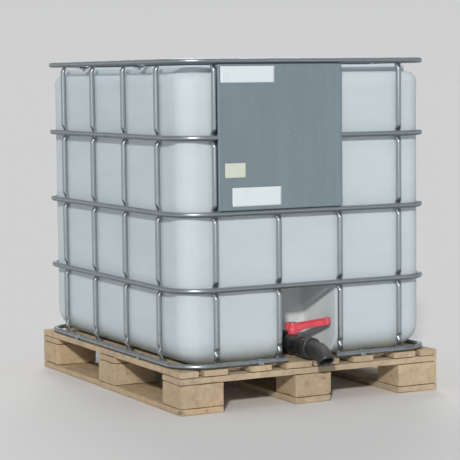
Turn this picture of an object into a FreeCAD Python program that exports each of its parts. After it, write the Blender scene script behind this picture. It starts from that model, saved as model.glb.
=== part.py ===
"""Intermediate bulk container: a blow-moulded bottle in a tubular cage on a wooden pallet.

Millimetres. X runs along the short front, Y from the valve front to the back, Z up.
The origin is the middle of the pallet's underside.
"""
import FreeCAD, Part
import math
import os
import re
import Sketcher
from FreeCAD import Placement, Rotation, Vector

DIMENSIONS = {
    # Pallet: runners, blocks, stringers and deck boards stacked from the floor up.
    "pallet_width": 1000, "pallet_depth": 1200,
    "board_thickness": 22, "block_height": 78, "block_depth": 140,
    "side_block_width": 160, "centre_block_width": 140,
    "nail_radius": 2, "nail_head_radius": 4.5, "nail_head": 1.5,
    "short_nail": 40, "long_nail": 72, "runner_nail": 55, "nail_sink": 0.5,
    # Cage: five rings of round tube, with upright tubes inside them.
    "tube_radius": 9, "tube_wall": 1,
    "ring_half_x": 488, "ring_half_y": 588, "ring_corner": 112,
    "lowest_ring": 153.1, "ring_pitch": 249.475,
    "ring_opening": 95, "ring_seam": 0.15,
    "upright_setback": 8, "dent_setback": 14.5, "dent_half_depth": 5, "dent_half_width": 11,
    "upright_foot": 144.6, "upright_top": 1159.4,
    "front_upright": 118.5, "front_pitch": 237, "side_pitch": 268,
    # Crossbars over the top, bolted to tabs that are welded inside the top ring.
    "crossbar_y": 240, "crossbar_z": 1148, "crossbar_reach": 476,
    "flat_half_depth": 3, "flat_half_width": 12, "flat_z": 1140.2,
    "tab_inner": 452, "tab_outer": 478.5, "tab_width": 28, "tab_thickness": 4,
    "flat_length": 22, "flat_ease": 20,
    "bolt_x": 465, "bolt_radius": 4, "bolt_play": 0.1, "bolt_shank": 9,
    "bolt_head_radius": 6.5, "bolt_head": 5,
    # How far a cutter runs past what it cuts, and the height of one that cuts right through.
    "overrun": 30, "through": 100,
    # Saddle clips that hold the lowest ring down on the deck.
    "clip_width": 20, "clip_bore": 9.2, "clip_thickness": 2, "clip_foot": 31, "clip_screw_reach": 22,
    "screw_radius": 2.5, "screw_hole": 2.6, "screw_head_radius": 5, "screw_head": 2.5,
    "screw_length": 21,
    # Marking plate: a tray of thin sheet on the front, with three blank paper labels.
    "plate_left": -350, "plate_right": 118, "plate_bottom": 662, "plate_top": 1141,
    "plate_front": 598.2, "plate_back": 589.4, "sheet": 1, "plate_bend": 4, "notch_height": 23,
    "label_thickness": 0.3, "rivet_radius": 1.6, "rivet_head_radius": 4, "rivet_head": 1.4,
    "rivet_length": 7,
    # Bottle.
    "tank_half_x": 467.5, "tank_half_y": 567.5, "tank_corner": 66, "tank_wall": 3,
    "tank_bottom": 144.1, "tank_bottom_edge": 58, "shoulder_top": 1118, "shoulder_edge": 36,
    "plateau_half_x": 427.5, "plateau_half_y": 527.5, "plateau_corner": 50, "plateau_top": 1138,
    "plateau_edge": 6, "well_radius": 130, "well_floor": 1085,
    "niche_half_front": 110, "niche_half_back": 83, "niche_back": 385, "niche_roof": 398,
    "neck_radius": 79, "neck_bore": 72, "neck_top": 1128,
    # Fill cap with its screwed vent plug.
    "gasket_thickness": 3, "cap_radius": 87, "cap_skirt_bore": 79.1, "cap_skirt": 28, "cap_plate": 6,
    "cap_boss_radius": 40, "cap_boss": 4, "grip_radius": 3.5,
    "plug_radius": 28, "plug_clearance": 0.06, "plug_depth": 12, "plug_gasket": 2,
    "plug_flange_radius": 36, "plug_flange": 5, "plug_grip_length": 52, "plug_grip_width": 9,
    "plug_grip_height": 4,
    # Outlet valve on the pipe axis through the niche.
    "pipe_z": 184, "pipe_radius": 27, "pipe_bore": 24, "outlet_neck_radius": 30,
    "neck_front": 402, "seal_thickness": 2, "valve_front": 583, "ball_radius": 35, "stem_y": 458,
    "collar_radius": 30, "collar_back": 413,
    "valve_nut_radius": 38, "valve_nut_back": 392, "valve_nut_front": 420,
    "boss_radius": 13, "boss_top": 230, "stem_radius": 5, "stem_clearance": 0.06,
    "stem_bottom": 166, "stem_top": 250, "disc_radius": 23.8, "disc_thickness": 4,
    "disc_hub_radius": 8, "disc_hub_bottom": 165, "disc_hub_top": 203,
    "thread_radius": 29, "thread_clearance": 0.1, "thread_back": 560,
    "outlet_nut_radius": 36, "outlet_nut_back": 563, "outlet_nut_front": 593,
    "spout_collar_radius": 31, "spout_collar": 4, "spout_straight": 632, "spout_bend": 52,
    "spout_angle": 50, "spout_tail": 20, "mouth_radius": 29.5, "mouth_length": 16,
    # Lever.
    "lever_reach": 132, "lever_back": 25, "lever_width": 20, "lever_rise": 24,
    "lever_bottom": 230.2, "lever_depth": 26, "lever_hub_radius": 15,
    "lever_skirt_radius": 17, "lever_skirt_bottom": 217, "skirt_clearance": 0.3,
    "lever_screw_radius": 3, "lever_screw_head_radius": 7, "lever_screw_head": 3,
    "lever_screw_depth": 14,
}
UPPER_RINGS = ("ring_lower", "ring_middle", "ring_upper", "ring_top")
# Deck boards from left to right, mirrored about the middle: inner and outer edge.
DECK_BOARD_EDGES = ((4, 104), (158, 240), (322, 412), (430, 500))
CLIP_X = 199
CLIP_Y = 268
RIVET_X = (-320, -200, -60, 80)
LABELS = ((-341, -141, 1080, 1134), (-327, -251, 770, 818), (-301, -118, 675, 737))
GRIP_RIBS = 36
NUT_RIBS = 8
NECK_NUT_RIB = 1.5
OUTLET_NUT_RIB = 2
# Places of the nails of a joint from its middle: along X, and the same times the slant along Y.
DECK_NAIL_SHIFT, DECK_NAIL_SLANT = 20, 1.75
RUNNER_NAIL_SHIFT = 30

doc = FreeCAD.newDocument("bulk_container")
dims = doc.addObject("Spreadsheet::Sheet", "dims")
for row, (alias, number) in enumerate(DIMENSIONS.items(), start=1):
    dims.set(f"A{row}", alias)
    dims.set(f"B{row}", str(number))
    dims.setAlias(f"B{row}", alias)
doc.recompute()
NODES = []


def bind(target, **formulas):
    """Set properties from formulas in the sheet's aliases; a double underscore stands for a dot."""
    for name, formula in formulas.items():
        linked = re.sub(r"[a-z]\w+", lambda word: f"dims.{word.group()}", str(formula))
        target.setExpression(name.replace("__", "."), linked)
    return target


def place(target, x=0, y=0, z=0, turn=None):
    """Put an object at a point given by formulas, with an optional fixed rotation."""
    if turn:
        target.Placement = Placement(Vector(), turn)
    return bind(target, Placement__Base__x=x, Placement__Base__y=y, Placement__Base__z=z)


def node(target, label):
    """Name an object as one sub-part of the container."""
    target.Label = label
    NODES.append(target)
    return target


def box(x, y, z, length, width, height):
    """A block whose lowest corner is at x, y, z."""
    block = place(doc.addObject("Part::Box", "box"), x, y, z)
    return bind(block, Length=length, Width=width, Height=height)


# Turns +Z to point forward; and lays a torus so that its first quarter bends forward and down.
FORWARD = Rotation(Vector(1, 0, 0), 90)
BEND_DOWN = Rotation(Vector(0, 0, 1), Vector(0, -1, 0), Vector(1, 0, 0), "XYZ")


def rod(radius, length, x=0, y=0, z=0, turn=None):
    """A cylinder that rises from x, y, z, or runs forward (along -Y) when turned FORWARD."""
    cylinder = place(doc.addObject("Part::Cylinder", "rod"), x, y, z, turn)
    return bind(cylinder, Radius=radius, Height=length)


def fuse(*pieces):
    joined = doc.addObject("Part::MultiFuse", "joined")
    joined.Shapes = list(pieces)
    return joined


def cut(base, *tools):
    for tool in tools:
        result = doc.addObject("Part::Cut", "cut")
        result.Base = base
        result.Tool = tool
        base = result
    return base


def group(pieces, label):
    """Separate solids that share one sub-part, such as a set of screws."""
    together = doc.addObject("Part::Compound", "group")
    together.Links = list(pieces)
    return node(together, label)


def copy_of(master, x=0, y=0, z=0, angle=0):
    """A linked copy of a master shape, turned about Z and moved."""
    linked = doc.addObject("Part::Compound", "copy")
    linked.Links = [master]
    return place(linked, x, y, z, Rotation(Vector(0, 0, 1), angle))


def size(alias):
    return float(dims.get(alias))


# --- sketches ---------------------------------------------------------------

def sketch_on(body, role, offset=0):
    """A sketch on one of the body's own origin planes, moved along the plane's normal."""
    plane = next(item for item in body.Origin.OriginFeatures if item.Role == role)
    sketch = body.newObject("Sketcher::SketchObject", "sketch")
    sketch.AttachmentSupport = (plane, [""])
    sketch.MapMode = "FlatFace"
    return bind(sketch, AttachmentOffset__Base__z=offset)


def constrain(sketch, kind, *arguments, formula=None):
    index = sketch.addConstraint(Sketcher.Constraint(kind, *arguments))
    if formula is not None:
        bind(sketch, **{f"Constraints[{index}]": formula})


def rounded_rectangle(sketch, half_x, half_y, corner, inset=0, opening=None):
    """A rounded rectangle about the origin; with an opening, its front side is left open there."""
    shrink = inset * size("tank_wall")
    reach_x, reach_y, radius = size(half_x) - shrink, size(half_y) - shrink, size(corner) - shrink
    flat_x, flat_y = reach_x - radius, reach_y - radius
    centres = ((flat_x, -flat_y), (flat_x, flat_y), (-flat_x, flat_y), (-flat_x, -flat_y))
    for quarter, (x, y) in enumerate(centres):
        start = (quarter - 1) * math.pi / 2
        circle = Part.Circle(Vector(x, y), Vector(0, 0, 1), radius)
        sketch.addGeometry(Part.ArcOfCircle(circle, start, start + math.pi / 2))
    sides = (((reach_x, -flat_y), (reach_x, flat_y)), ((flat_x, reach_y), (-flat_x, reach_y)),
             ((-reach_x, flat_y), (-reach_x, -flat_y)))
    for side, (start, end) in enumerate(sides):
        sketch.addGeometry(Part.LineSegment(Vector(*start), Vector(*end)))
        constrain(sketch, "Tangent", side, 2, 4 + side, 1)
        constrain(sketch, "Tangent", 4 + side, 2, side + 1, 1)
        constrain(sketch, "Equal", side, side + 1)
        constrain(sketch, ("Vertical", "Horizontal")[side % 2], 4 + side)
    if opening is None:
        sketch.addGeometry(Part.LineSegment(Vector(-flat_x, -reach_y), Vector(flat_x, -reach_y)))
        constrain(sketch, "Tangent", 3, 2, 7, 1)
        constrain(sketch, "Tangent", 7, 2, 0, 1)
    else:
        gap = size(opening)
        sketch.addGeometry(Part.LineSegment(Vector(-flat_x, -reach_y), Vector(-gap, -reach_y)))
        sketch.addGeometry(Part.LineSegment(Vector(gap, -reach_y), Vector(flat_x, -reach_y)))
        constrain(sketch, "Tangent", 3, 2, 7, 1)
        constrain(sketch, "Tangent", 8, 2, 0, 1)
        constrain(sketch, "Symmetric", 7, 2, 8, 1, -2)
        constrain(sketch, "DistanceX", -1, 1, 8, 1, gap, formula=opening)
    constrain(sketch, "Symmetric", 0, 3, 2, 3, -1, 1)
    constrain(sketch, "Radius", 0, radius, formula=f"{corner} - {inset} * tank_wall")
    constrain(sketch, "DistanceX", -1, 1, 1, 3, flat_x, formula=f"{half_x} - {corner}")
    constrain(sketch, "DistanceY", -1, 1, 1, 3, flat_y, formula=f"{half_y} - {corner}")


def tube_section(sketch, distance):
    """The two circles of the cage tube's section, at minus a distance along the sketch's X axis."""
    outer, inner = size("tube_radius"), size("tube_radius") - size("tube_wall")
    for index, (radius, formula) in enumerate(((outer, "tube_radius"), (inner, "tube_radius - tube_wall"))):
        sketch.addGeometry(Part.Circle(Vector(-size(distance), 0), Vector(0, 0, 1), radius))
        constrain(sketch, "Radius", index, radius, formula=formula)
        constrain(sketch, "DistanceX", index, 3, -1, 1, size(distance), formula=distance)
        constrain(sketch, "PointOnObject", index, 3, -1)


# --- pallet -------------------------------------------------------------------

def pallet():
    half = "pallet_depth / 2"
    block_top = "board_thickness + block_height"
    columns = (("left", "side_block_width / 2 - pallet_width / 2", "side_block_width"),
               ("centre", "0", "centre_block_width"),
               ("right", "pallet_width / 2 - side_block_width / 2", "side_block_width"))
    rows = ("block_depth / 2 - pallet_depth / 2", "0", "pallet_depth / 2 - block_depth / 2")
    blocks = []
    for side, middle, width in columns:
        runner = box(f"{middle} - {width} / 2", f"-{half}", 0, width, "pallet_depth", "board_thickness")
        node(runner, f"runner_{side}")
        for row in rows:
            blocks.append(box(f"{middle} - {width} / 2", f"{row} - block_depth / 2",
                              "board_thickness", width, "block_depth", "block_height"))
    group(blocks, "pallet_blocks")
    for where, row in zip(("front", "middle", "back"), rows):
        stringer = box("-pallet_width / 2", f"{row} - block_depth / 2", block_top,
                       "pallet_width", "block_depth", "board_thickness")
        node(stringer, f"stringer_{where}")
    boards = [(-outer, -inner) for inner, outer in reversed(DECK_BOARD_EDGES)]
    boards += list(DECK_BOARD_EDGES)
    for number, (left, right) in enumerate(boards, start=1):
        board = box(left, f"-{half}", f"{block_top} + board_thickness", right - left,
                    "pallet_depth", "board_thickness")
        node(board, f"deck_board_{number}")
    nails(boards)


def nail(length):
    """A nail that points down, with its head's top at the origin."""
    head = rod("nail_head_radius", "nail_head", 0, 0, "-nail_head")
    return fuse(head, rod("nail_radius", length, 0, 0, f"-{length}"))


def nails(boards):
    """Two nails wherever a board crosses a stringer, longer over a block, and two per runner end."""
    short, long = nail("short_nail"), nail("long_nail")
    upward = nail("runner_nail")
    side_block = size("pallet_width") / 2 - size("side_block_width")
    deck = "3 * board_thickness + block_height"
    stringers = [end * (size("pallet_depth") - size("block_depth")) / 2 for end in (-1, 0, 1)]
    driven = []
    for left, right in boards:
        for middle in stringers:
            for shift in (-DECK_NAIL_SHIFT, DECK_NAIL_SHIFT):
                x = (left + right) / 2 + shift
                over_block = abs(x) < size("centre_block_width") / 2 or abs(x) > side_block
                master = long if over_block else short
                driven.append(copy_of(master, x, middle + DECK_NAIL_SLANT * shift, deck))
    flip = Rotation(Vector(1, 0, 0), 180)
    runner_x = (size("pallet_width") - size("side_block_width")) / 2
    for x in (-runner_x, 0, runner_x):
        for middle in stringers:
            for shift in (-RUNNER_NAIL_SHIFT, RUNNER_NAIL_SHIFT):
                copy = copy_of(upward)
                driven.append(place(copy, x + shift, middle + shift, "nail_sink", flip))
    group(driven, "pallet_nails")


# --- cage ---------------------------------------------------------------------

def ring(opening):
    """One ring bent from tube in the plane z = 0, its ends an opening's half-width from the middle."""
    body = doc.addObject("PartDesign::Body", "ring")
    path = sketch_on(body, "XY_Plane")
    rounded_rectangle(path, "ring_half_x", "ring_half_y", "ring_corner", opening=opening)
    section = sketch_on(body, "YZ_Plane", opening)
    tube_section(section, "ring_half_y")
    doc.recompute()
    pipe = body.newObject("PartDesign::AdditivePipe", "bent_tube")
    pipe.Profile = section
    pipe.Spine = (path, [f"Edge{index + 1}" for index in range(path.GeometryCount)])
    body.Tip = pipe
    return body


def formed_tube(stations, wall):
    """A tube along Z whose section changes: (height, half depth, half width, setback) formulas."""
    walls = []
    for shrink in ("0", wall):
        sections = []
        for height, half_depth, half_width, setback in stations:
            oval = place(doc.addObject("Part::Ellipse", "section"), 0, setback, height)
            bind(oval, MajorRadius=f"{half_width} - {shrink}", MinorRadius=f"{half_depth} - {shrink}")
            sections.append(oval)
        loft = doc.addObject("Part::Loft", "formed")
        loft.Sections = sections
        loft.Solid = True
        loft.Ruled = True
        walls.append(loft)
    return cut(*walls)


def eased(share):
    """A formed stretch between the dented section (share 0) and the round tube (share 1)."""
    return (f"dent_half_depth + {share} * (tube_radius - dent_half_depth)",
            f"dent_half_width + {share} * (tube_radius - dent_half_width)",
            f"dent_setback + {share} * (upright_setback - dent_setback)")


def upright():
    """An upright at a ring's face: y = 0 is the rings' centre line, +Y points at the bottle."""
    # Distance from a ring's centre, and how far the tube has come back to round there.
    below_and_above = ((-29, 1), (-23, 0.85), (-15.5, 0.15), (-9.5, 0), (9.5, 0), (15.5, 0.15),
                       (23, 0.85), (29, 1))
    stations = [("upright_foot", *eased(0)), ("lowest_ring + 10", *eased(0)),
                ("lowest_ring + 26", *eased(0.7)), ("lowest_ring + 34", *eased(0.9)),
                ("lowest_ring + 46", *eased(0.45)), ("lowest_ring + 58", *eased(0.95)),
                ("lowest_ring + 64", *eased(1))]
    for level in (1, 2, 3):
        for distance, share in below_and_above:
            stations.append((f"lowest_ring + {level} * ring_pitch + {distance}", *eased(share)))
    for distance, share in below_and_above[:4]:
        stations.append((f"lowest_ring + 4 * ring_pitch + {distance}", *eased(share)))
    stations.append(("upright_top", *eased(0)))
    return formed_tube(stations, "tube_wall")


def cage():
    node(copy_of(ring("ring_opening"), 0, 0, "lowest_ring"), "ring_bottom")
    seamed = ring("ring_seam")
    for level, name in enumerate(UPPER_RINGS, start=1):
        node(copy_of(seamed, 0, 0, f"lowest_ring + {level} * ring_pitch", 180), name)
    master = upright()
    for number, step in enumerate((-1, 0, 1, 2), start=1):
        along_front = f"{step} * front_pitch - front_upright"
        along_side = f"({step} - 0.5) * side_pitch"
        faces = (("front", along_front, "-ring_half_y", 0), ("back", along_front, "ring_half_y", 180),
                 ("left", "-ring_half_x", along_side, -90), ("right", "ring_half_x", along_side, 90))
        for face, x, y, angle in faces:
            node(copy_of(master, x, y, 0, angle), f"upright_{face}_{number}")


def crossbars():
    """Two bars over the bottle, flattened at their ends and bolted to tabs on the top ring."""
    flat = ("flat_half_depth", "flat_half_width", "flat_z")
    round_tube = ("tube_radius", "tube_radius", "crossbar_z")
    reach = (("crossbar_reach", flat), ("crossbar_reach - flat_length", flat),
             ("crossbar_reach - flat_length - flat_ease", round_tube))
    stations = [(f"-({where})", *section) for where, section in reach]
    stations += [(where, *section) for where, section in reversed(reach)]
    master = formed_tube(stations, "tube_wall")
    along_x = Rotation(Vector(1, 1, 1), 120)
    tabs, bolts = [], []
    tab_top = "flat_z - flat_half_depth - 0.1"
    bolt_bottom = "flat_z - flat_half_depth - tab_thickness - bolt_shank"
    for name, side in (("front", -1), ("back", 1)):
        y = f"{side} * crossbar_y"
        lying = place(copy_of(master), 0, y, 0, along_x)
        holes = [rod("bolt_radius + bolt_play", "overrun", f"{end} * bolt_x", y, "flat_z - overrun / 2")
                 for end in (-1, 1)]
        node(cut(lying, *holes), f"crossbar_{name}")
        for end in (-1, 1):
            x = f"{end} * bolt_x"
            corner = "tab_inner" if end > 0 else "-tab_outer"
            tab = box(corner, f"{y} - tab_width / 2", f"{tab_top} - tab_thickness",
                      "tab_outer - tab_inner", "tab_width", "tab_thickness")
            tabs.append(cut(tab, rod("bolt_radius + bolt_play", "overrun", x, y, "flat_z - overrun / 2")))
            shank = rod("bolt_radius", "flat_z + flat_half_depth - (" + bolt_bottom + ")", x, y, bolt_bottom)
            head = rod("bolt_head_radius", "bolt_head", x, y, "flat_z + flat_half_depth")
            nut = rod("bolt_head_radius", "bolt_head + 1", x, y, f"{tab_top} - tab_thickness - bolt_head - 1")
            bolts.append(fuse(shank, head))
            bolts.append(cut(nut, rod("bolt_radius", "overrun", x, y, "flat_z - overrun")))
    group(tabs, "crossbar_tabs")
    group(bolts, "crossbar_bolts")


def clips():
    """Saddle clips over the lowest ring, each held by one screw through its inward foot."""
    outer = "clip_bore + clip_thickness"
    along_x = Rotation(Vector(0, 1, 0), 90)
    deck = "3 * board_thickness + block_height - lowest_ring + 0.1"
    half = "clip_width / 2"
    arch = cut(rod(outer, "clip_width", f"-{half}", 0, 0, along_x),
               rod("clip_bore", "clip_width", f"-{half}", 0, 0, along_x),
               box("-clip_width", "-clip_width", "-2 * clip_width", "2 * clip_width", "2 * clip_width",
                   "2 * clip_width"))
    legs = [box(f"-{half}", y, deck, "clip_width", "clip_thickness", f"-({deck})")
            for y in ("clip_bore", f"-({outer})")]
    foot = box(f"-{half}", "clip_bore", deck, "clip_width", "clip_foot - clip_bore", "clip_thickness")
    hole = rod("screw_hole", "overrun", 0, "clip_screw_reach", "-overrun")
    clip = cut(fuse(arch, *legs, foot), hole)
    head_base = f"{deck} + clip_thickness"
    screw = fuse(rod("screw_head_radius", "screw_head", 0, "clip_screw_reach", head_base),
                 rod("screw_radius", "screw_length", 0, "clip_screw_reach", f"{head_base} - screw_length"))
    spots = []
    for side in (-1, 1):
        spots += [(side * CLIP_X, "-ring_half_y", 0), (side * CLIP_X, "ring_half_y", 180),
                  ("-ring_half_x", side * CLIP_Y, -90), ("ring_half_x", side * CLIP_Y, 90)]
    for master, label in ((clip, "rail_clips"), (screw, "clip_screws")):
        group([copy_of(master, x, y, "lowest_ring", angle) for x, y, angle in spots], label)


def plate():
    """The marking plate: a shallow tray of sheet, open at the back, notched for the ring behind it."""
    def tray(inset):
        sides = f"2 * {inset}"
        block = box(f"plate_left + {inset}", f"{inset} - plate_front", f"plate_bottom + {inset}",
                    f"plate_right - plate_left - {sides}", "plate_front - plate_back",
                    f"plate_top - plate_bottom - {sides}")
        doc.recompute()
        bend = size("plate_bend") - (size("sheet") if inset != "0" else 0)
        rounded = doc.addObject("Part::Fillet", "bends")
        rounded.Base = block
        front = block.Shape.BoundBox.YMin
        rounded.Edges = [(index, bend, bend) for index, edge in enumerate(block.Shape.Edges, start=1)
                         if abs(edge.BoundBox.YMin - front) + abs(edge.BoundBox.YMax - front) < 0.1]
        return rounded

    notch = box("plate_left - 1", "1.2 * sheet - plate_front",
                "lowest_ring + 3 * ring_pitch - notch_height / 2", "plate_right - plate_left + 2",
                "plate_front", "notch_height")
    node(cut(tray("0"), tray("sheet"), notch), "label_plate")
    rivets = []
    for x in RIVET_X:
        height = "lowest_ring + 3 * ring_pitch"
        rivets.append(fuse(rod("rivet_head_radius", "rivet_head", x, "-plate_front", height, FORWARD),
                           rod("rivet_radius", "rivet_length", x, "rivet_length - plate_front", height,
                               FORWARD)))
    group(rivets, "plate_rivets")
    papers = [box(left, "-plate_front - label_thickness", low, right - left, "label_thickness", high - low)
              for left, right, low, high in LABELS]
    group(papers, "labels")


# --- bottle -------------------------------------------------------------------

def edges_at(shape, height):
    """Names of the edges that lie level at a height."""
    return [f"Edge{index}" for index, edge in enumerate(shape.Edges, start=1)
            if abs(edge.BoundBox.ZMin - height) < 0.01 and abs(edge.BoundBox.ZMax - height) < 0.01]


def filleted(body, base, height, formula):
    doc.recompute()
    rounding = body.newObject("PartDesign::Fillet", "rounding")
    rounding.Base = (base, edges_at(base.Shape, height))
    bind(rounding, Radius=formula)
    body.Tip = rounding
    doc.recompute()
    return rounding


def tank_block(inset):
    """The bottle's outer form, or with inset 1 its inside, one wall smaller."""
    wall = f"{inset} * tank_wall"
    thickness = inset * size("tank_wall")
    body = doc.addObject("PartDesign::Body", "tank")
    base = sketch_on(body, "XY_Plane", f"tank_bottom + {wall}")
    rounded_rectangle(base, "tank_half_x", "tank_half_y", "tank_corner", inset)
    trunk = body.newObject("PartDesign::Pad", "trunk")
    trunk.Profile = base
    bind(trunk, Length=f"shoulder_top - tank_bottom - 2 * {wall}")
    body.Tip = trunk
    bottom = filleted(body, trunk, size("tank_bottom") + thickness, f"tank_bottom_edge - {wall}")
    filleted(body, bottom, size("shoulder_top") - thickness, f"shoulder_edge - {wall}")
    raised = sketch_on(body, "XY_Plane", f"shoulder_top - {wall} - 1")
    rounded_rectangle(raised, "plateau_half_x", "plateau_half_y", "plateau_corner", inset)
    plateau = body.newObject("PartDesign::Pad", "plateau")
    plateau.Profile = raised
    bind(plateau, Length="plateau_top - shoulder_top + 1")
    body.Tip = plateau
    filleted(body, plateau, size("plateau_top") - thickness, f"plateau_edge - {wall}")
    return body


def niche(margin):
    """The recess for the valve in the bottle's front, enlarged by a margin on every side."""
    wedge = doc.addObject("Part::Wedge", "niche")
    slope = "(niche_half_front - niche_half_back) / (tank_half_y - niche_back)"
    front = f"niche_half_front + overrun * {slope} + {margin}"
    back = f"niche_half_back + {margin}"
    return bind(wedge, Ymin="-tank_half_y - overrun", Ymax=f"{margin} - niche_back",
                Xmin=f"-({front})", Xmax=front, X2min=f"-({back})", X2max=back,
                Zmin="tank_bottom - overrun", Z2min="tank_bottom - overrun",
                Zmax=f"niche_roof + {margin}", Z2max=f"niche_roof + {margin}")


def bottle():
    outside = cut(tank_block(0), niche("0"), rod("well_radius", "through", 0, 0, "well_floor"))
    inside = cut(tank_block(1), niche("tank_wall"),
                 rod("well_radius + tank_wall", "through", 0, 0, "well_floor - tank_wall"))
    shell = cut(outside, inside)
    neck = rod("neck_radius", "neck_top - well_floor + 1", 0, 0, "well_floor - 1")
    outlet = rod("outlet_neck_radius", "neck_front - niche_back + 1", 0, "1 - niche_back", "pipe_z", FORWARD)
    bores = (rod("neck_bore", "neck_top - well_floor + overrun", 0, 0, "well_floor - overrun"),
             rod("pipe_bore", "neck_front - niche_back + overrun", 0, "overrun - niche_back",
                 "pipe_z", FORWARD))
    node(cut(fuse(shell, neck, outlet), *bores), "bottle")


def fill_cap():
    """The screw cap on the neck, with a screwed vent plug in its middle."""
    under = "neck_top + gasket_thickness"
    top = f"{under} + cap_plate"
    gasket = cut(rod("neck_radius - 1", "gasket_thickness", 0, 0, "neck_top"),
                 rod("neck_bore", "gasket_thickness", 0, 0, "neck_top"))
    node(gasket, "cap_gasket")
    shell = rod("cap_radius", "cap_skirt + cap_plate", 0, 0, f"{under} - cap_skirt")
    ribs = []
    for turn in range(GRIP_RIBS):
        angle = math.radians(turn * 360 / GRIP_RIBS)
        ribs.append(rod("grip_radius", "cap_skirt", f"(cap_radius - 1) * {math.cos(angle):.5f}",
                        f"(cap_radius - 1) * {math.sin(angle):.5f}", f"{under} - cap_skirt"))
    hollow = cut(rod("cap_skirt_bore", "cap_skirt", 0, 0, f"{under} - cap_skirt"),
                 rod("cap_boss_radius", "cap_boss", 0, 0, f"{under} - cap_boss"))
    cap = cut(fuse(shell, *ribs), hollow,
              rod("plug_radius + plug_clearance", "2 * overrun", 0, 0, "neck_top - overrun"))
    node(cap, "fill_cap")
    flat = f"{top} + plug_gasket"
    node(cut(rod("plug_flange_radius - 1", "plug_gasket", 0, 0, top),
             rod("plug_radius + 1", "plug_gasket", 0, 0, top)), "plug_gasket")
    plug = fuse(rod("plug_radius", "plug_depth", 0, 0, f"{flat} - plug_depth"),
                rod("plug_flange_radius", "plug_flange", 0, 0, flat),
                box("-plug_grip_length / 2", "-plug_grip_width / 2", f"{flat} + plug_flange",
                    "plug_grip_length", "plug_grip_width", "plug_grip_height"))
    node(plug, "vent_plug")


# --- valve --------------------------------------------------------------------

def pipe(radius, back, front):
    """A solid cylinder along the pipe axis between two distances in front of the origin."""
    return rod(radius, f"{front} - ({back})", 0, f"-({back})", "pipe_z", FORWARD)


def valve():
    seal_front = "neck_front + seal_thickness"
    stem = rod("stem_radius", "stem_top - stem_bottom", 0, "-stem_y", "stem_bottom")
    body = fuse(pipe("pipe_radius", seal_front, "valve_front"),
                pipe("collar_radius", seal_front, "collar_back"),
                pipe("thread_radius", "thread_back", "valve_front"),
                bind(place(doc.addObject("Part::Sphere", "ball"), 0, "-stem_y", "pipe_z"),
                     Radius="ball_radius"),
                rod("boss_radius", "boss_top - pipe_z", 0, "-stem_y", "pipe_z"))
    body = cut(body, pipe("pipe_bore", seal_front, "valve_front"),
               rod("stem_radius + stem_clearance", "through", 0, "-stem_y", "pipe_z"))
    node(body, "valve_body")
    seals = [cut(pipe("pipe_radius + 2", "neck_front", seal_front),
                 pipe("pipe_bore", "neck_front", seal_front)),
             cut(pipe("thread_radius - 1", "valve_front", "valve_front + 1"),
                 pipe("pipe_bore", "valve_front", "valve_front + 1"))]
    group(seals, "valve_seals")
    nut = cut(fuse(pipe("valve_nut_radius", "valve_nut_back", "valve_nut_front"),
                   *lugs("valve_nut_radius", "valve_nut_back", "valve_nut_front", NECK_NUT_RIB)),
              pipe("outlet_neck_radius + thread_clearance", "valve_nut_back", "collar_back + 0.1"),
              pipe("pipe_radius + thread_clearance", "valve_nut_back", "valve_nut_front"))
    node(nut, "valve_nut")
    blade = fuse(rod("disc_radius", "disc_thickness", 0, "disc_thickness / 2 - stem_y", "pipe_z", FORWARD),
                 rod("disc_hub_radius", "disc_hub_top - disc_hub_bottom", 0, "-stem_y", "disc_hub_bottom"))
    node(cut(blade, stem), "valve_disc")
    socket = "stem_top - lever_screw_depth"
    screw_hole = rod("lever_screw_radius", "lever_screw_depth", 0, "-stem_y", socket)
    node(cut(stem, screw_hole), "valve_stem")
    lever(stem)
    hub_top = "lever_bottom + lever_depth"
    screw = fuse(rod("lever_screw_radius", f"{hub_top} - ({socket})", 0, "-stem_y", socket),
                 rod("lever_screw_head_radius", "lever_screw_head", 0, "-stem_y", hub_top))
    node(screw, "lever_screw")


def lugs(radius, back, front, rib):
    """Ribs along the pipe axis around a nut."""
    ribs = []
    for turn in range(NUT_RIBS):
        angle = math.radians((turn + 0.5) * 360 / NUT_RIBS)
        ribs.append(rod(rib, f"{front} - ({back})", f"({radius}) * {math.sin(angle):.5f}", f"-({back})",
                        f"pipe_z + ({radius}) * {math.cos(angle):.5f}", FORWARD))
    return ribs


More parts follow.
